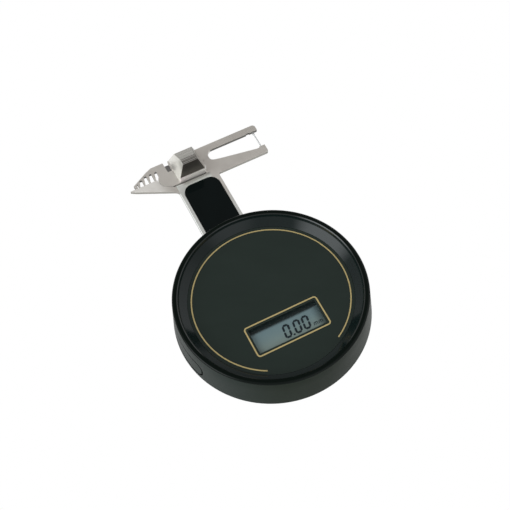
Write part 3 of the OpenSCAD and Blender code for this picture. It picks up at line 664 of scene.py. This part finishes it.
def case_plastic():
    """Satin on the side wall, gloss on the rim and inside it, and painted shade in the gap round the drawer
    """
    finish = Finish("case_plastic", Specular_IOR_Level=0.07, IOR=1.5, Coat_Roughness=0.08, Coat_IOR=1.5)
    x, y, z = finish.place()
    radius = (x * x + y * y).root()
    on_rim = finish.between(z, CASE_H - 0.8, RIM_FLAT)
    inside_rim = finish.between(radius, RIM_IN + 0.6, RIM_IN + 0.1)
    polished = (on_rim + inside_rim).at_most(1)
    inner = finish.between(radius, RIM_IN + 0.1, RIM_IN - 0.1)
    fine_line = finish.between(radius.away(RIM_IN + 0.08), 0.18, 0.13) * (z > RIM_FLAT)
    gap_shade = drawer_gap_shade(finish, x, y, z, radius)
    grain, cloud = finish.noise(0.16, 3), finish.noise(9, 2)
    # Painted light: the side wall is painted paler towards its foot, as a painted reflection of the floor,
    # and paler on the left.
    side = finish.mix(finish.between(z, 9, 0), tone(13, 26, 14), tone(17, 29, 19))
    side = finish.mix(finish.between(x, -10, -26), side, tone(26, 36, 32))
    # Painted shade in the gap round the drawer, which also reflects less there.
    side = finish.mix(gap_shade, side, tone(2, 4, 3))
    # Painted light: the step and the bevel are painted a little paler than the rim, as a painted reflection.
    gloss = finish.mix(inner, tone(5, 12, 9), tone(12, 22, 21))
    satin_roughness, gloss_roughness = 0.36 + 0.1 * cloud + 0.5 * gap_shade, 0.07 + 0.05 * cloud
    finish.set(
        Base_Color=finish.mix(polished, side, gloss),
        Roughness=satin_roughness * (1 - polished) + gloss_roughness * polished,
        Coat_Weight=(0.08 + 0.2 * inner + 0.5 * fine_line) * polished,
        Metallic=gap_shade,
        Normal=finish.bump(grain * (1 - polished), 0.012),
    )
    return finish


black_case = case_plastic()
carry(shell, CASE, black_case, "case_plastic", "front_case")

# %% [markdown]
# ## The dial
#
# The dial is a thin glossy plate with printed gold lines. The construction model has them at their real
# size, so the plate only gets rounded edges, and the gold foil stays as it is. The lines could be a
# picture laid on the plate, but foil of its own catches the light apart from the gloss beside it.


# %% Dial
def dial_gloss():
    """Near black and glossy, with a faint smear as from a cloth"""
    finish = Finish("dial_gloss", Specular_IOR_Level=0.28, IOR=1.5)
    smear = finish.noise((14, 5, 14), 3, turn=0.5)
    speck = finish.noise(0.35, 2)
    finish.set(
        Base_Color=finish.mix(smear, tone(28, 37, 33), tone(33, 42, 38)),
        Roughness=0.1 + 0.06 * smear + 0.03 * speck,
        Normal=finish.bump(speck, 0.0015),
    )
    return finish


def gold_foil():
    """Pale gold, partly pigment and partly metal flakes"""
    finish = Finish("gold_foil", Specular_IOR_Level=0.5)
    flake = finish.noise(0.12, 2)
    wear = finish.noise(2.5, 4)
    finish.set(
        Base_Color=finish.mix(wear, tone(176, 158, 106), tone(192, 174, 122)),
        Metallic=0.35 + 0.2 * flake,
        Roughness=0.34 + 0.18 * flake,
        Normal=finish.bump(flake, 0.004),
    )
    return finish


plate = refined("face_panel", "dial_plate", 0.05)
carry(plate, CASE, dial_gloss(), "dial_gloss", "face_panel")
gold = gold_foil()
for node in ("dial_ring", "display_frame"):
    dress(nodes[node], gold)
print("gold lines have their finish")

# %% [markdown]
# ## The display
#
# Behind a clear window lie two glasses with liquid crystal between them. The window is hardly seen, but
# it greys what is behind it a little. The glass is a soft green grey, and the edge of the dial lays a
# shadow on its far end and its right side. A lamp could cast that shadow, but the even sky casts none,
# so it is part of the finish.


# %% Window and glass
def clear_window():
    """Nearly clear, with a faint smear"""
    finish = Finish("clear_window", Base_Color=tone(70, 82, 80), Specular_IOR_Level=0.4, IOR=1.5)
    smear = finish.noise((6, 2.5, 6), 3, turn=0.9)
    finish.set(Alpha=0.03 + 0.03 * smear, Roughness=0.03 + 0.05 * smear)
    return finish


def lcd_glass():
    """Green grey, painted darker towards its far end, with a painted shadow on its far end and its right
    side
    """
    finish = Finish("lcd_glass", Specular_IOR_Level=0.3, IOR=1.5)
    x, y = finish.place()[:2]
    line = finish.noise((0.05, 4, 4), 1)
    # The ground is painted darker towards the far end, as painted shade that runs into the shadow.
    ground = finish.mix(finish.between(y, -16.5, -9.5), tone(117, 131, 125), tone(102, 122, 125))
    shadow = finish.between(y, -9.2, -8.1).at_least(finish.between(x, 8.5, 12) * 0.6)
    finish.set(
        Base_Color=finish.mix(shadow, ground, tone(12, 22, 22)),
        Roughness=0.22 + 0.08 * line,
    )
    return finish


dress(nodes["display_window"], clear_window())
dress(nodes["lcd_panel"], lcd_glass())
print("window and glass have their finish")

# %% [markdown]
# The reading is three slanted noughts and the unit, small, at the lower right. A nought is six dark
# bars. The bars could be painted by a shader, but as thin pieces on the glass they keep their pointed
# ends sharp at any distance.

# %% Bars of the display
GLASS_TOP = glass_high[Z]
INK_T, SLANT, POINTED, DRAWN_IN = 0.04, 0.12, 0.45, 0.15
FIGURE_LOW, FIGURE_H, FIGURE_W, BAR_W, BAR_GAP = -14.35, 4.1, 1.75, 0.7, 0.06
UNIT_LOW, UNIT_H, UNIT_W, UNIT_BAR = -14.6, 1.0, 1.15, 0.24
# Each bar of a nought has its middle, as shares of the figure's width and height, and may be upright
NOUGHT = (
    (0.5, 1.0, False), (1.0, 0.75, True), (1.0, 0.25, True),
    (0.5, 0.0, False), (0.0, 0.25, True), (0.0, 0.75, True),
)


def bar(x, y, length, width, upright):
    """One bar with pointed ends: a flat block whose end faces are drawn out and together"""
    bpy.ops.object.select_all(action="DESELECT")
    bpy.ops.mesh.primitive_cube_add(size=1, location=(0, 0, 0))
    piece = bpy.context.object
    piece.scale = mm(length - width, width, INK_T)
    settle(piece)
    edit(piece)
    bpy.ops.mesh.select_mode(type="FACE")
    for side in (-1, 1):
        bpy.ops.mesh.select_all(action="DESELECT")
        shape = bmesh.from_edit_mesh(piece.data)
        for face in shape.faces:
            face.select_set(face.normal.x * side > 0.9)
        bmesh.update_edit_mesh(piece.data)
        bpy.ops.mesh.extrude_region_move(
            TRANSFORM_OT_translate={"value": mm(side * width * POINTED, 0, 0)}
        )
        bpy.ops.transform.resize(value=(1, DRAWN_IN, 1))
    leave()
    piece.rotation_euler = (0, 0, math.pi / 2 if upright else 0)
    piece.location = mm(x + SLANT * (y - FIGURE_LOW), y, GLASS_TOP + INK_T / 2)
    settle(piece)
    if upright:
        for point in piece.data.vertices:
            point.co.x += SLANT * (point.co.y - y * MM)
    return piece


def nought(left):
    """The bars of one figure, as a list of pieces"""
    made = []
    for along, rise, upright in NOUGHT:
        length = (FIGURE_H / 2 if upright else FIGURE_W) - BAR_GAP
        made.append(bar(left + along * FIGURE_W, FIGURE_LOW + rise * FIGURE_H, length, BAR_W, upright))
    return made


def unit_letter(left):
    """One letter of the unit: three legs and a roof"""
    middle = UNIT_LOW + UNIT_H / 2
    legs = [bar(left + share * UNIT_W, middle, UNIT_H, UNIT_BAR, True) for share in (0, 0.5, 1)]
    return [*legs, bar(left + UNIT_W / 2, UNIT_LOW + UNIT_H, UNIT_W, UNIT_BAR, False)]


print("bars of a nought:", len(NOUGHT))

# %% [markdown]
# Switched crystal is a dark blue grey. The bars could stay apart, but nothing moves one bar alone, so
# they are joined to one piece.


# %% Reading
def lcd_ink():
    """The dark blue grey of switched crystal"""
    finish = Finish("lcd_ink", Specular_IOR_Level=0.2)
    grain = finish.noise(0.3, 2)
    finish.set(
        Base_Color=finish.mix(grain, tone(8, 16, 24), tone(16, 26, 34)),
        Roughness=0.35 + 0.1 * grain,
    )
    return finish


FIGURES_AT, LETTERS_AT, POINT_X, POINT_L = (-1.7, 1.9, 4.9), (8.0, 9.7), 1.0, 0.9
ink = [piece for left in FIGURES_AT for piece in nought(left)]
decimal_point = bar(POINT_X, FIGURE_LOW, POINT_L, BAR_W, False)
letters = [piece for left in LETTERS_AT for piece in unit_letter(left)]
reading = join([*ink, decimal_point, *letters])
reading.name = "display_reading"
carry(reading, CASE, lcd_ink(), "lcd_glass")

# %% [markdown]
# ## Battery drawer
#
# The coin cell sits in a drawer whose front closes the side wall flush. A fine seam runs round it. It
# could be modelled again, but its shape in the construction model is whole and only needs softer edges.
# Its plastic is the satin one of the side wall.

# %% Drawer
drawer = refined("battery_drawer", "drawer_front_and_tray", 0.06)
carry(drawer, DRAWER, black_case, "drawer_plastic", "battery_drawer")

# %% [markdown]
# ## Steel
#
# The neck is a stamped and ground channel: its rails and the bar across its end are bright, and the jaws
# are satin. Satin steel is thousands of fine scratches and pits. They could be modelled, but at this
# size a fine noise in the relief and in the roughness spreads the reflections in the same way. The press
# leaves a rough upright edge round each plate, which is found by its height. That edge is darker, partly
# for its rough steel and partly as painted shade, and paler near the neck as painted light.

# %% Steel that the neck and the jaws share
jaw_low = box("moving_jaw")[0]
PLATE_LOW, JAW_Y = jaw_low[Z], jaw_low[Y]
NECK_END = JAW_Y - 0.5


def satin_colour(finish, cloud):
    """Two near greys in soft clouds"""
    return finish.mix(cloud, tone(200, 196, 188), tone(216, 212, 205))


def press_edge(finish, x, y, z, shade):
    """1 on the rough edge of a plate, and its colour: partly rough steel and partly painted shade, with
    painted light near the neck
    """
    edge = finish.between(z, PLATE_LOW, PLATE_LOW + 0.06) * finish.between(z, NECK_T - 0.02, NECK_T - 0.1)
    lit_at_neck = (x > NECK_LEFT) * (x < NECK_RIGHT + 1.5) * (y > NECK_END + 0.2)
    lit_beside_neck = (x > -14) * (x < NECK_LEFT + 1) * (y > JAW_Y + 0.3) * (y < JAW_Y + 5.9)
    return edge, finish.mix(lit_at_neck.at_least(lit_beside_neck * 0.6), shade, tone(200, 197, 191))


def feed_steel(finish, colour, cloud, rail):
    """Gives a steel its colour, its scratches and pits, and smoother rails"""
    grain, pits = finish.noise((0.5, 0.06, 0.3), 3), finish.noise(0.22, 3)
    finish.set(
        Base_Color=colour,
        Metallic=0.85,
        Roughness=0.42 + 0.14 * cloud - 0.08 * grain - 0.1 * rail,
        Normal=finish.bump(grain * 0.6 + pits * 0.4, 0.003),
    )


print("press edges start at a height of", PLATE_LOW)

# %% [markdown]
# The neck has four looks on one piece of steel: satin jaws, bright rails, a bar across the end with
# painted shade that darkens it towards the jaws, and a side with a painted reflection that is white
# above and painted shade that is grey below. Each could be a piece of its own. As shares from 0 to 1
# they blend where the ground steel blends.

# %% Neck
LIP = 0.2
INLAY_X, INLAY_REACH = (NECK_LEFT + NECK_RIGHT) / 2, (NECK_RIGHT - NECK_LEFT) / 2 - RAIL_W


def bright_rail(finish, x, y, on_neck):
    """1 on the bright rails, less in a corner and along the right where they are dull"""
    dull_corner = finish.between(x, -6.4, -4.6) * finish.between(y, 54, 56.2) * 0.85
    dull_right = finish.between(x, 3, 6) * finish.between(y, 37, 49) * 0.95
    return finish.between(y, NECK_END + 0.2, NECK_END - 0.2) * on_neck * (1 - dull_corner) * (1 - dull_right)


def neck_steel():
    """Satin jaws, bright rails, and the dark lip that the inlay leaves on them"""
    finish = Finish("neck_steel", Specular_IOR_Level=0.5)
    x, y, z = finish.place()
    cloud = finish.noise(5, 3)
    on_neck = (x > NECK_LEFT - 0.1) * (x < NECK_RIGHT + 0.1)
    rail = bright_rail(finish, x, y, on_neck)
    colour = satin_colour(finish, cloud)
    # Painted light: the jaws are painted paler towards their left end.
    colour = finish.mix(finish.between(x, -9, -15) * 0.85, colour, tone(250, 248, 242))
    # Painted shade: the bar across the end of the neck is painted darker towards the jaws.
    crossbar = (y > NECK_END - 2.1) * (y < NECK_END + 0.1) * on_neck * finish.between(x, 5.4, 4.2)
    bar_shade = finish.between(y, NECK_END, NECK_END - 1.7)
    colour = finish.mix(crossbar, colour, finish.mix(bar_shade, tone(158, 155, 148), tone(236, 240, 232)))
    colour = finish.mix(rail, colour, tone(240, 244, 239))
    # The outer side of the neck is painted white as a painted reflection of the floor, and grey towards its
    # foot as painted shade.
    outermost = finish.between(x, NECK_LEFT + 0.03, NECK_LEFT - 0.01) * on_neck * (y < NECK_END - 0.6)
    flank = outermost * finish.between(z, NECK_T - 0.04, NECK_T - 0.12)
    flank_shadow = finish.between(z, 1.3, 0.8)
    colour = finish.mix(flank, colour, finish.mix(flank_shadow, tone(246, 249, 245), tone(112, 114, 111)))
    lip = finish.between(x.away(INLAY_X), INLAY_REACH + LIP, INLAY_REACH + LIP - 0.03)
    lip = lip * finish.between(y, 54.5, 52.5) * (z > NECK_T - 0.1)
    colour = finish.mix(lip, colour, tone(6, 10, 10))
    # The press edge takes painted shade, and painted light near the neck.
    edge, edge_shade_and_light = press_edge(finish, x, y, z, tone(158, 156, 150))
    colour = finish.mix(edge * (1 - rail), colour, edge_shade_and_light)
    feed_steel(finish, colour, cloud, rail)
    return finish


neck = refined("jaw_frame", "neck_and_fixed_jaw", 0.06)
carry(neck, CASE, neck_steel(), "neck_steel", "jaw_frame")

# %% [markdown]
# The inlay between the rails is glossy black plastic. The moving jaw is a plate of the same satin
# steel as the fixed one. Either could be modelled from a drawing, but both have their shape in the
# construction model, so both are refined copies.


# %% Inlay and moving jaw
def inlay_black():
    """Glossy black, with long soft waves"""
    finish = Finish("inlay_black", Specular_IOR_Level=0.16, IOR=1.5)
    smear = finish.noise((4, 10, 4), 3)
    finish.set(
        Base_Color=finish.mix(smear, tone(3, 9, 9), tone(6, 14, 14)),
        Roughness=0.06 + 0.05 * smear,
        Normal=finish.bump(smear, 0.01),
    )
    return finish


def jaw_steel():
    """Satin steel, a little darker towards the tip of the prong"""
    finish = Finish("jaw_steel", Specular_IOR_Level=0.5)
    x, y, z = finish.place()
    cloud = finish.noise(5, 3)
    colour = finish.mix(finish.between(x, 6, 22) * 0.7, satin_colour(finish, cloud), tone(190, 186, 178))
    # The press edge takes painted shade, and painted light near the neck.
    edge, edge_shade_and_light = press_edge(finish, x, y, z, tone(100, 98, 94))
    feed_steel(finish, finish.mix(edge, colour, edge_shade_and_light), cloud, 0)
    return finish


inlay = refined("neck_cover", "neck_inlay", 0.06)
carry(inlay, CASE, inlay_black(), "inlay_black", "neck_cover")
head = refined("moving_jaw", "moving_jaw_plate", 0.05)
carry(head, SLIDE, jaw_steel(), "jaw_steel", "moving_jaw")

# %% [markdown]
# ## Thumb block
#
# The block is cast and then brushed. Painted shade darkens the grooves between its ribs, soft stripes
# of painted shade run along the ribs, and its front is painted darker. Painted light brightens its foot,
# its slope and its left end. A picture of these marks could be wrapped round it. Here they are found
# from the shape: the depth below the sloping roof tells a groove from a rib.

# %% Marks of the thumb block
block_low, block_high = box("thumb_block")
BLOCK_X, BLOCK_TOP = (block_low[X] + block_high[X]) / 2, block_high[Z]
FRONT_Y, RIDGE_Y, FOOT_TOP = block_low[Y] + 0.4, block_low[Y] + 2.6, block_low[Z] + 2.05
SLOPE, END_LEAN, RIBS_REACH = 0.412, 0.27, 4.98
# Each row of soft stripes of painted shade has the place where it starts and half the distance between two
# of them
TOP_SHADE_STRIPES, SLOPE_SHADE_STRIPES = (RIDGE_Y, 0.45), (RIDGE_Y + 1.7, 0.78)


def rib_shade(finish, x, y, z):
    """Painted shade in the grooves, and soft stripes of painted shade along the ribs, both as shares"""
    depth = BLOCK_TOP - SLOPE * (y - RIDGE_Y).at_least(0) - z
    ribbed = (x.away(BLOCK_X) < RIBS_REACH - END_LEAN * (z - NECK_T)) * (y > FRONT_Y + 0.1) * (depth < 0.4)
    groove = finish.between(depth, 0.04, 0.16) * ribbed
    top, slope = (1 - (y - start).zigzag(half) for start, half in (TOP_SHADE_STRIPES, SLOPE_SHADE_STRIPES))
    on_slope = finish.between(y, RIDGE_Y + 0.2, RIDGE_Y + 0.8)
    return groove, (top * (1 - on_slope) + slope * on_slope * 0.3) * ribbed


def block_shade_and_light(finish, x, y, z, metal, lit_toe):
    """Lays painted shade on the front, painted light on the toe and the left end, and the grey right margin
    on the metal
    """
    front = (y < FRONT_Y + 0.07) * (z > FOOT_TOP + 0.05)
    behind_front = y > FRONT_Y + 0.1
    front_shade_fade, along_toe = finish.between(z, 7.5, 5), finish.between(x, -5.5, 0)
    # Painted shade: the front is painted darker, more so towards its foot.
    metal = finish.mix(front, metal, finish.mix(front_shade_fade, tone(108, 103, 96), tone(88, 84, 78)))
    # Painted light: the toe and the left end are painted paler.
    metal = finish.mix(lit_toe, metal, finish.mix(along_toe, tone(220, 210, 207), tone(214, 210, 204)))
    along_end = finish.between(y, 61.5, 65)
    lit_left_end = finish.between(x, BLOCK_X - 3, BLOCK_X - 4) * behind_front
    metal = finish.mix(lit_left_end, metal, finish.mix(along_end, tone(240, 239, 233), tone(222, 220, 214)))
    right_margin = (x > BLOCK_X + 2) * (x - BLOCK_X > 4.9 - END_LEAN * (z - NECK_T)) * behind_front
    return finish.mix(right_margin, metal, tone(150, 147, 141))


print("top of the thumb block:", BLOCK_TOP, "mm")

# %% [markdown]
# The marks lie one over the other on brushed metal. The grooves are painted darker as painted shade,
# and they are also rougher and less of a mirror than the ribs.


# %% Thumb block
def block_metal():
    """Brushed bright metal with painted shade and painted light"""
    finish = Finish("block_metal", Specular_IOR_Level=0.5)
    x, y, z = finish.place()
    pits, brushed, cloud = finish.noise(0.3, 3), finish.noise((2, 0.12, 4), 2), finish.noise(4, 3)
    groove, shade_stripe = rib_shade(finish, x, y, z)
    lit_toe = (y < FRONT_Y + 0.1) * (z < FOOT_TOP + 0.02)
    metal = finish.mix(cloud, tone(188, 187, 181), tone(206, 205, 198))
    metal = finish.mix(brushed * 0.5, metal, tone(168, 164, 157))
    # Painted light: the slope is painted paler than the top.
    metal = finish.mix(finish.between(y, RIDGE_Y, RIDGE_Y + 1.8), metal, tone(210, 208, 201))
    # Soft stripes of painted shade along the ribs.
    metal = finish.mix(shade_stripe * 0.85, metal, tone(124, 120, 114))
    metal = block_shade_and_light(finish, x, y, z, metal, lit_toe)
    # The grooves take painted shade, deeper under the stripes.
    groove_shade = finish.mix(shade_stripe, tone(118, 114, 108), tone(66, 62, 57))
    finish.set(
        Base_Color=finish.mix(groove, metal, groove_shade),
        Metallic=0.85 - 0.4 * groove - 0.5 * lit_toe,
        Roughness=0.3 + 0.12 * cloud + 0.3 * groove,
        Normal=finish.bump(pits * 0.5 + brushed * 0.5, 0.008),
    )
    return finish


thumb = refined("thumb_block", "ribbed_thumb_block", 0.05)
carry(thumb, SLIDE, block_metal(), "block_metal", "thumb_block")

# %% [markdown]
# ## Probe pin
#
# A thin steel pin in the moving prong reaches into small places. It is turned on a lathe with a collar.
# Its half section could be spun like the case, but two cylinders, joined and bevelled, are as round.


# %% Probe pin
def plain_metal(name, colour, roughness, depth=0.004):
    """A metal with a fine grain and soft clouds"""
    finish = Finish(name, Metallic=1.0, Specular_IOR_Level=0.5)
    grain = finish.noise((0.4, 0.08, 0.4), 3)
    cloud = finish.noise(3, 2)
    darker = tuple(share * 0.8 for share in colour)
    finish.set(
        Base_Color=finish.mix(cloud, colour, darker),
        Roughness=roughness + 0.12 * cloud,
        Normal=finish.bump(grain, depth),
    )
    return finish


pin_low, pin_high = box("probe_pin")
PIN_X, PIN_Z = (pin_low[X] + pin_high[X]) / 2, (pin_low[Z] + pin_high[Z]) / 2
PIN_R, COLLAR_R = 0.25, (pin_high[X] - pin_low[X]) / 2
COLLAR_LOW, COLLAR_HIGH = pin_high[Y] - 3.0, pin_high[Y] - 1.9
pin = rod("probe_pin_turned", PIN_R, (PIN_X, pin_low[Y], PIN_Z), (PIN_X, pin_high[Y], PIN_Z), 32)
collar = rod("pin_collar", COLLAR_R, (PIN_X, COLLAR_LOW, PIN_Z), (PIN_X, COLLAR_HIGH, PIN_Z), 32)
combine(pin, "UNION", collar)
modify(pin, "BEVEL", width=0.08 * MM, segments=3, limit_method="ANGLE", angle_limit=math.radians(40))
smooth(pin, 40)
pin_metal = plain_metal("pin_steel", tone(205, 206, 205), 0.18)
carry(pin, SLIDE, pin_metal, "pin_steel", "probe_pin")

# %% [markdown]
# ## The return spring
#
# A long wire spring pulls the jaws together. It lies in the case, beside the bar, and shows when the
# drawer is out. The construction model has a plain tube there. A circle of wire section swept along a
# screw gives the coils.

# %% Coil
COIL_R, WIRE_R, LOOP_R, TURNS = 0.95, 0.15, 0.85, 46
spring_low, spring_high = box("return_spring")
SPRING_X, SPRING_Z = (spring_low[X] + spring_high[X]) / 2, (spring_low[Z] + spring_high[Z]) / 2
COIL_REAR = spring_low[Y] + 2 * LOOP_R + WIRE_R
COIL_FRONT = spring_high[Y] - 2 * LOOP_R - WIRE_R
PITCH = (COIL_FRONT - COIL_REAR) / TURNS
bpy.ops.object.select_all(action="DESELECT")
bpy.ops.mesh.primitive_circle_add(
    vertices=8, radius=WIRE_R * MM, location=(0, 0, 0), rotation=(math.pi / 2, 0, 0)
)
coil = bpy.context.object
coil.name = "return_spring_coil"
settle(coil)
edit(coil)
bpy.ops.transform.translate(value=mm(COIL_R, 0, 0))
leave()
modify(
    coil, "SCREW", axis="Z", angle=math.tau, screw_offset=PITCH * MM, iterations=TURNS,
    steps=16, render_steps=16,
)
coil.rotation_euler = (-math.pi / 2, 0, 0)
coil.location = mm(SPRING_X, COIL_REAR, SPRING_Z)
settle(coil)
print("coil turns:", TURNS)

# %% [markdown]
# Each end of the wire is bent into a loop that hangs on a post. The wire could be drawn as one long
# curve, but a ring and a short leg at each end, joined to the coil, look the same at this size.

# %% Loops of the spring
wires = [coil]
for y in (COIL_REAR - LOOP_R, COIL_FRONT + LOOP_R):
    bpy.ops.object.select_all(action="DESELECT")
    bpy.ops.mesh.primitive_torus_add(
        major_radius=LOOP_R * MM, minor_radius=WIRE_R * MM, major_segments=32, minor_segments=8,
        location=mm(SPRING_X, y, SPRING_Z),
    )
    wires.append(bpy.context.object)
for y in (COIL_REAR, COIL_FRONT):
    wires.append(rod("leg", WIRE_R, (SPRING_X, y, SPRING_Z), (SPRING_X + COIL_R, y, SPRING_Z), 8))
join(wires)
edit(coil)
bpy.ops.mesh.normals_make_consistent(inside=False)
leave()
smooth(coil, 60)
dress(coil, plain_metal("spring_steel", tone(188, 189, 190), 0.2))
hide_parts("return_spring")
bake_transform(coil)
print("spring faces:", len(coil.data.polygons))

# %% [markdown]
# ## Back, button and screws
#
# The back is a flat cover of coarser plastic, the button a small cap in the side wall, and the screws
# are steel. Nothing of them shows from the front. They could stay bare, but a part that is turned over
# or taken apart needs them, so they are refined copies with plain finishes.


# %% Back cover, button and screws
def grained_plastic(name, dark, light, roughness, size, depth):
    """A moulded plastic with a grain"""
    finish = Finish(name, Specular_IOR_Level=0.4, IOR=1.5)
    grain = finish.noise(size, 3)
    cloud = finish.noise(7, 2)
    finish.set(
        Base_Color=finish.mix(cloud, dark, light),
        Roughness=roughness + 0.12 * grain,
        Normal=finish.bump(grain, depth),
    )
    return finish


back_plastic = grained_plastic("back_plate", tone(36, 38, 38), tone(44, 46, 46), 0.45, 0.3, 0.03)
cover = refined("back_cover", "back_cover_plate", 0.08)
carry(cover, CASE, back_plastic, "back_plate", "back_cover")
button_plastic = grained_plastic("black_plastic", tone(24, 25, 25), tone(32, 33, 33), 0.3, 0.2, 0.008)
button = refined("zero_button", "zero_button_cap", 0.12)
carry(button, BUTTON, button_plastic, "black_plastic", "zero_button")
screw_metal = plain_metal("screw_steel", tone(196, 197, 196), 0.25)
for node, name, body in (
    ("case_screws", "case_screw_heads", CASE),
    ("frame_screws", "neck_screws", CASE),
    ("block_screws", "thumb_block_screws", SLIDE),
):
    carry(refined(node, name, 0.04), body, screw_metal, "screw_steel", node)

# %% [markdown]
# ## Hidden pieces
#
# Boards, contacts, the cell and the sliding bar lie inside. Only the drawer's opening and the open jaws
# show a little of them. They could be modelled finely, but for that little the construction model's
# meshes are enough, each with the finish of its material. Boards and rubber have a pattern.


# %% Boards and striped rubber
def board_green(name, ground, track):
    """Solder mask over copper tracks, which show as paler lines"""
    finish = Finish(name, Specular_IOR_Level=0.5, IOR=1.5)
    lines = finish.node(
        "ShaderNodeTexBrick", {"offset": 0.5},
        {"Vector": finish.spot(), "Scale": 0.4, "Mortar Size": 0.08, "Color1": ground,
         "Color2": ground, "Mortar": track},
    )
    grain = finish.noise(0.4, 2)
    finish.set(Base_Color=lines, Roughness=0.25 + 0.2 * grain, Normal=finish.bump(grain, 0.01))
    return finish


def striped_rubber():
    """Layers of carbon and clear rubber, a tenth of a millimetre each"""
    finish = Finish("zebra_rubber", Specular_IOR_Level=0.3)
    stripe = finish.place()[X].zigzag(0.1)
    finish.set(
        Base_Color=finish.mix(stripe, tone(24, 24, 26), tone(160, 140, 146)),
        Roughness=0.5 + 0.2 * stripe,
    )
    return finish


green = board_green("board_green", tone(18, 78, 42), tone(46, 122, 70))
scale_copper = board_green("scale_board", tone(30, 90, 56), tone(196, 140, 88))
zebra = striped_rubber()
print("boards and rubber have their finish")

# %% [markdown]
# The other hidden pieces need no pattern. Where two are of the same material, they share its finish.

# %% Finishes of the hidden pieces
pale = grained_plastic("pale_plastic", tone(196, 196, 190), tone(206, 206, 200), 0.4, 0.3, 0.01)
ceramic = grained_plastic("ceramic_tan", tone(150, 120, 86), tone(170, 140, 104), 0.4, 0.2, 0.01)
tin = plain_metal("tin_metal", tone(206, 206, 202), 0.3)
brass = plain_metal("contact_brass", tone(214, 186, 118), 0.25)
cell_can = plain_metal("cell_steel", tone(212, 213, 212), 0.2, 0.002)
# The sliding bar's steel is painted dark, as painted shade in the notch beside the thumb block.
shaded_slide_steel = plain_metal("bar_steel", tone(150, 150, 148), 0.34)
hidden = {
    "lcd_holder": pale, "board_spacers": pale, "contact_strip": zebra, "main_board": green,
    "sensor_board": green, "controller_chip": button_plastic, "board_header": button_plastic,
    "button_switch": button_plastic, "timing_crystal": tin, "board_capacitors": ceramic,
    "board_screws": screw_metal, "plus_contact": brass, "minus_contact": brass, "coin_cell": cell_can,
    "slide_bar": shaded_slide_steel, "scale_strip": scale_copper, "stop_pin": pin_metal,
    "fixed_spring_post": brass, "moving_spring_post": brass,
}
for node, finish in hidden.items():
    dress(nodes[node], finish)
print("hidden pieces with a finish:", len(hidden))
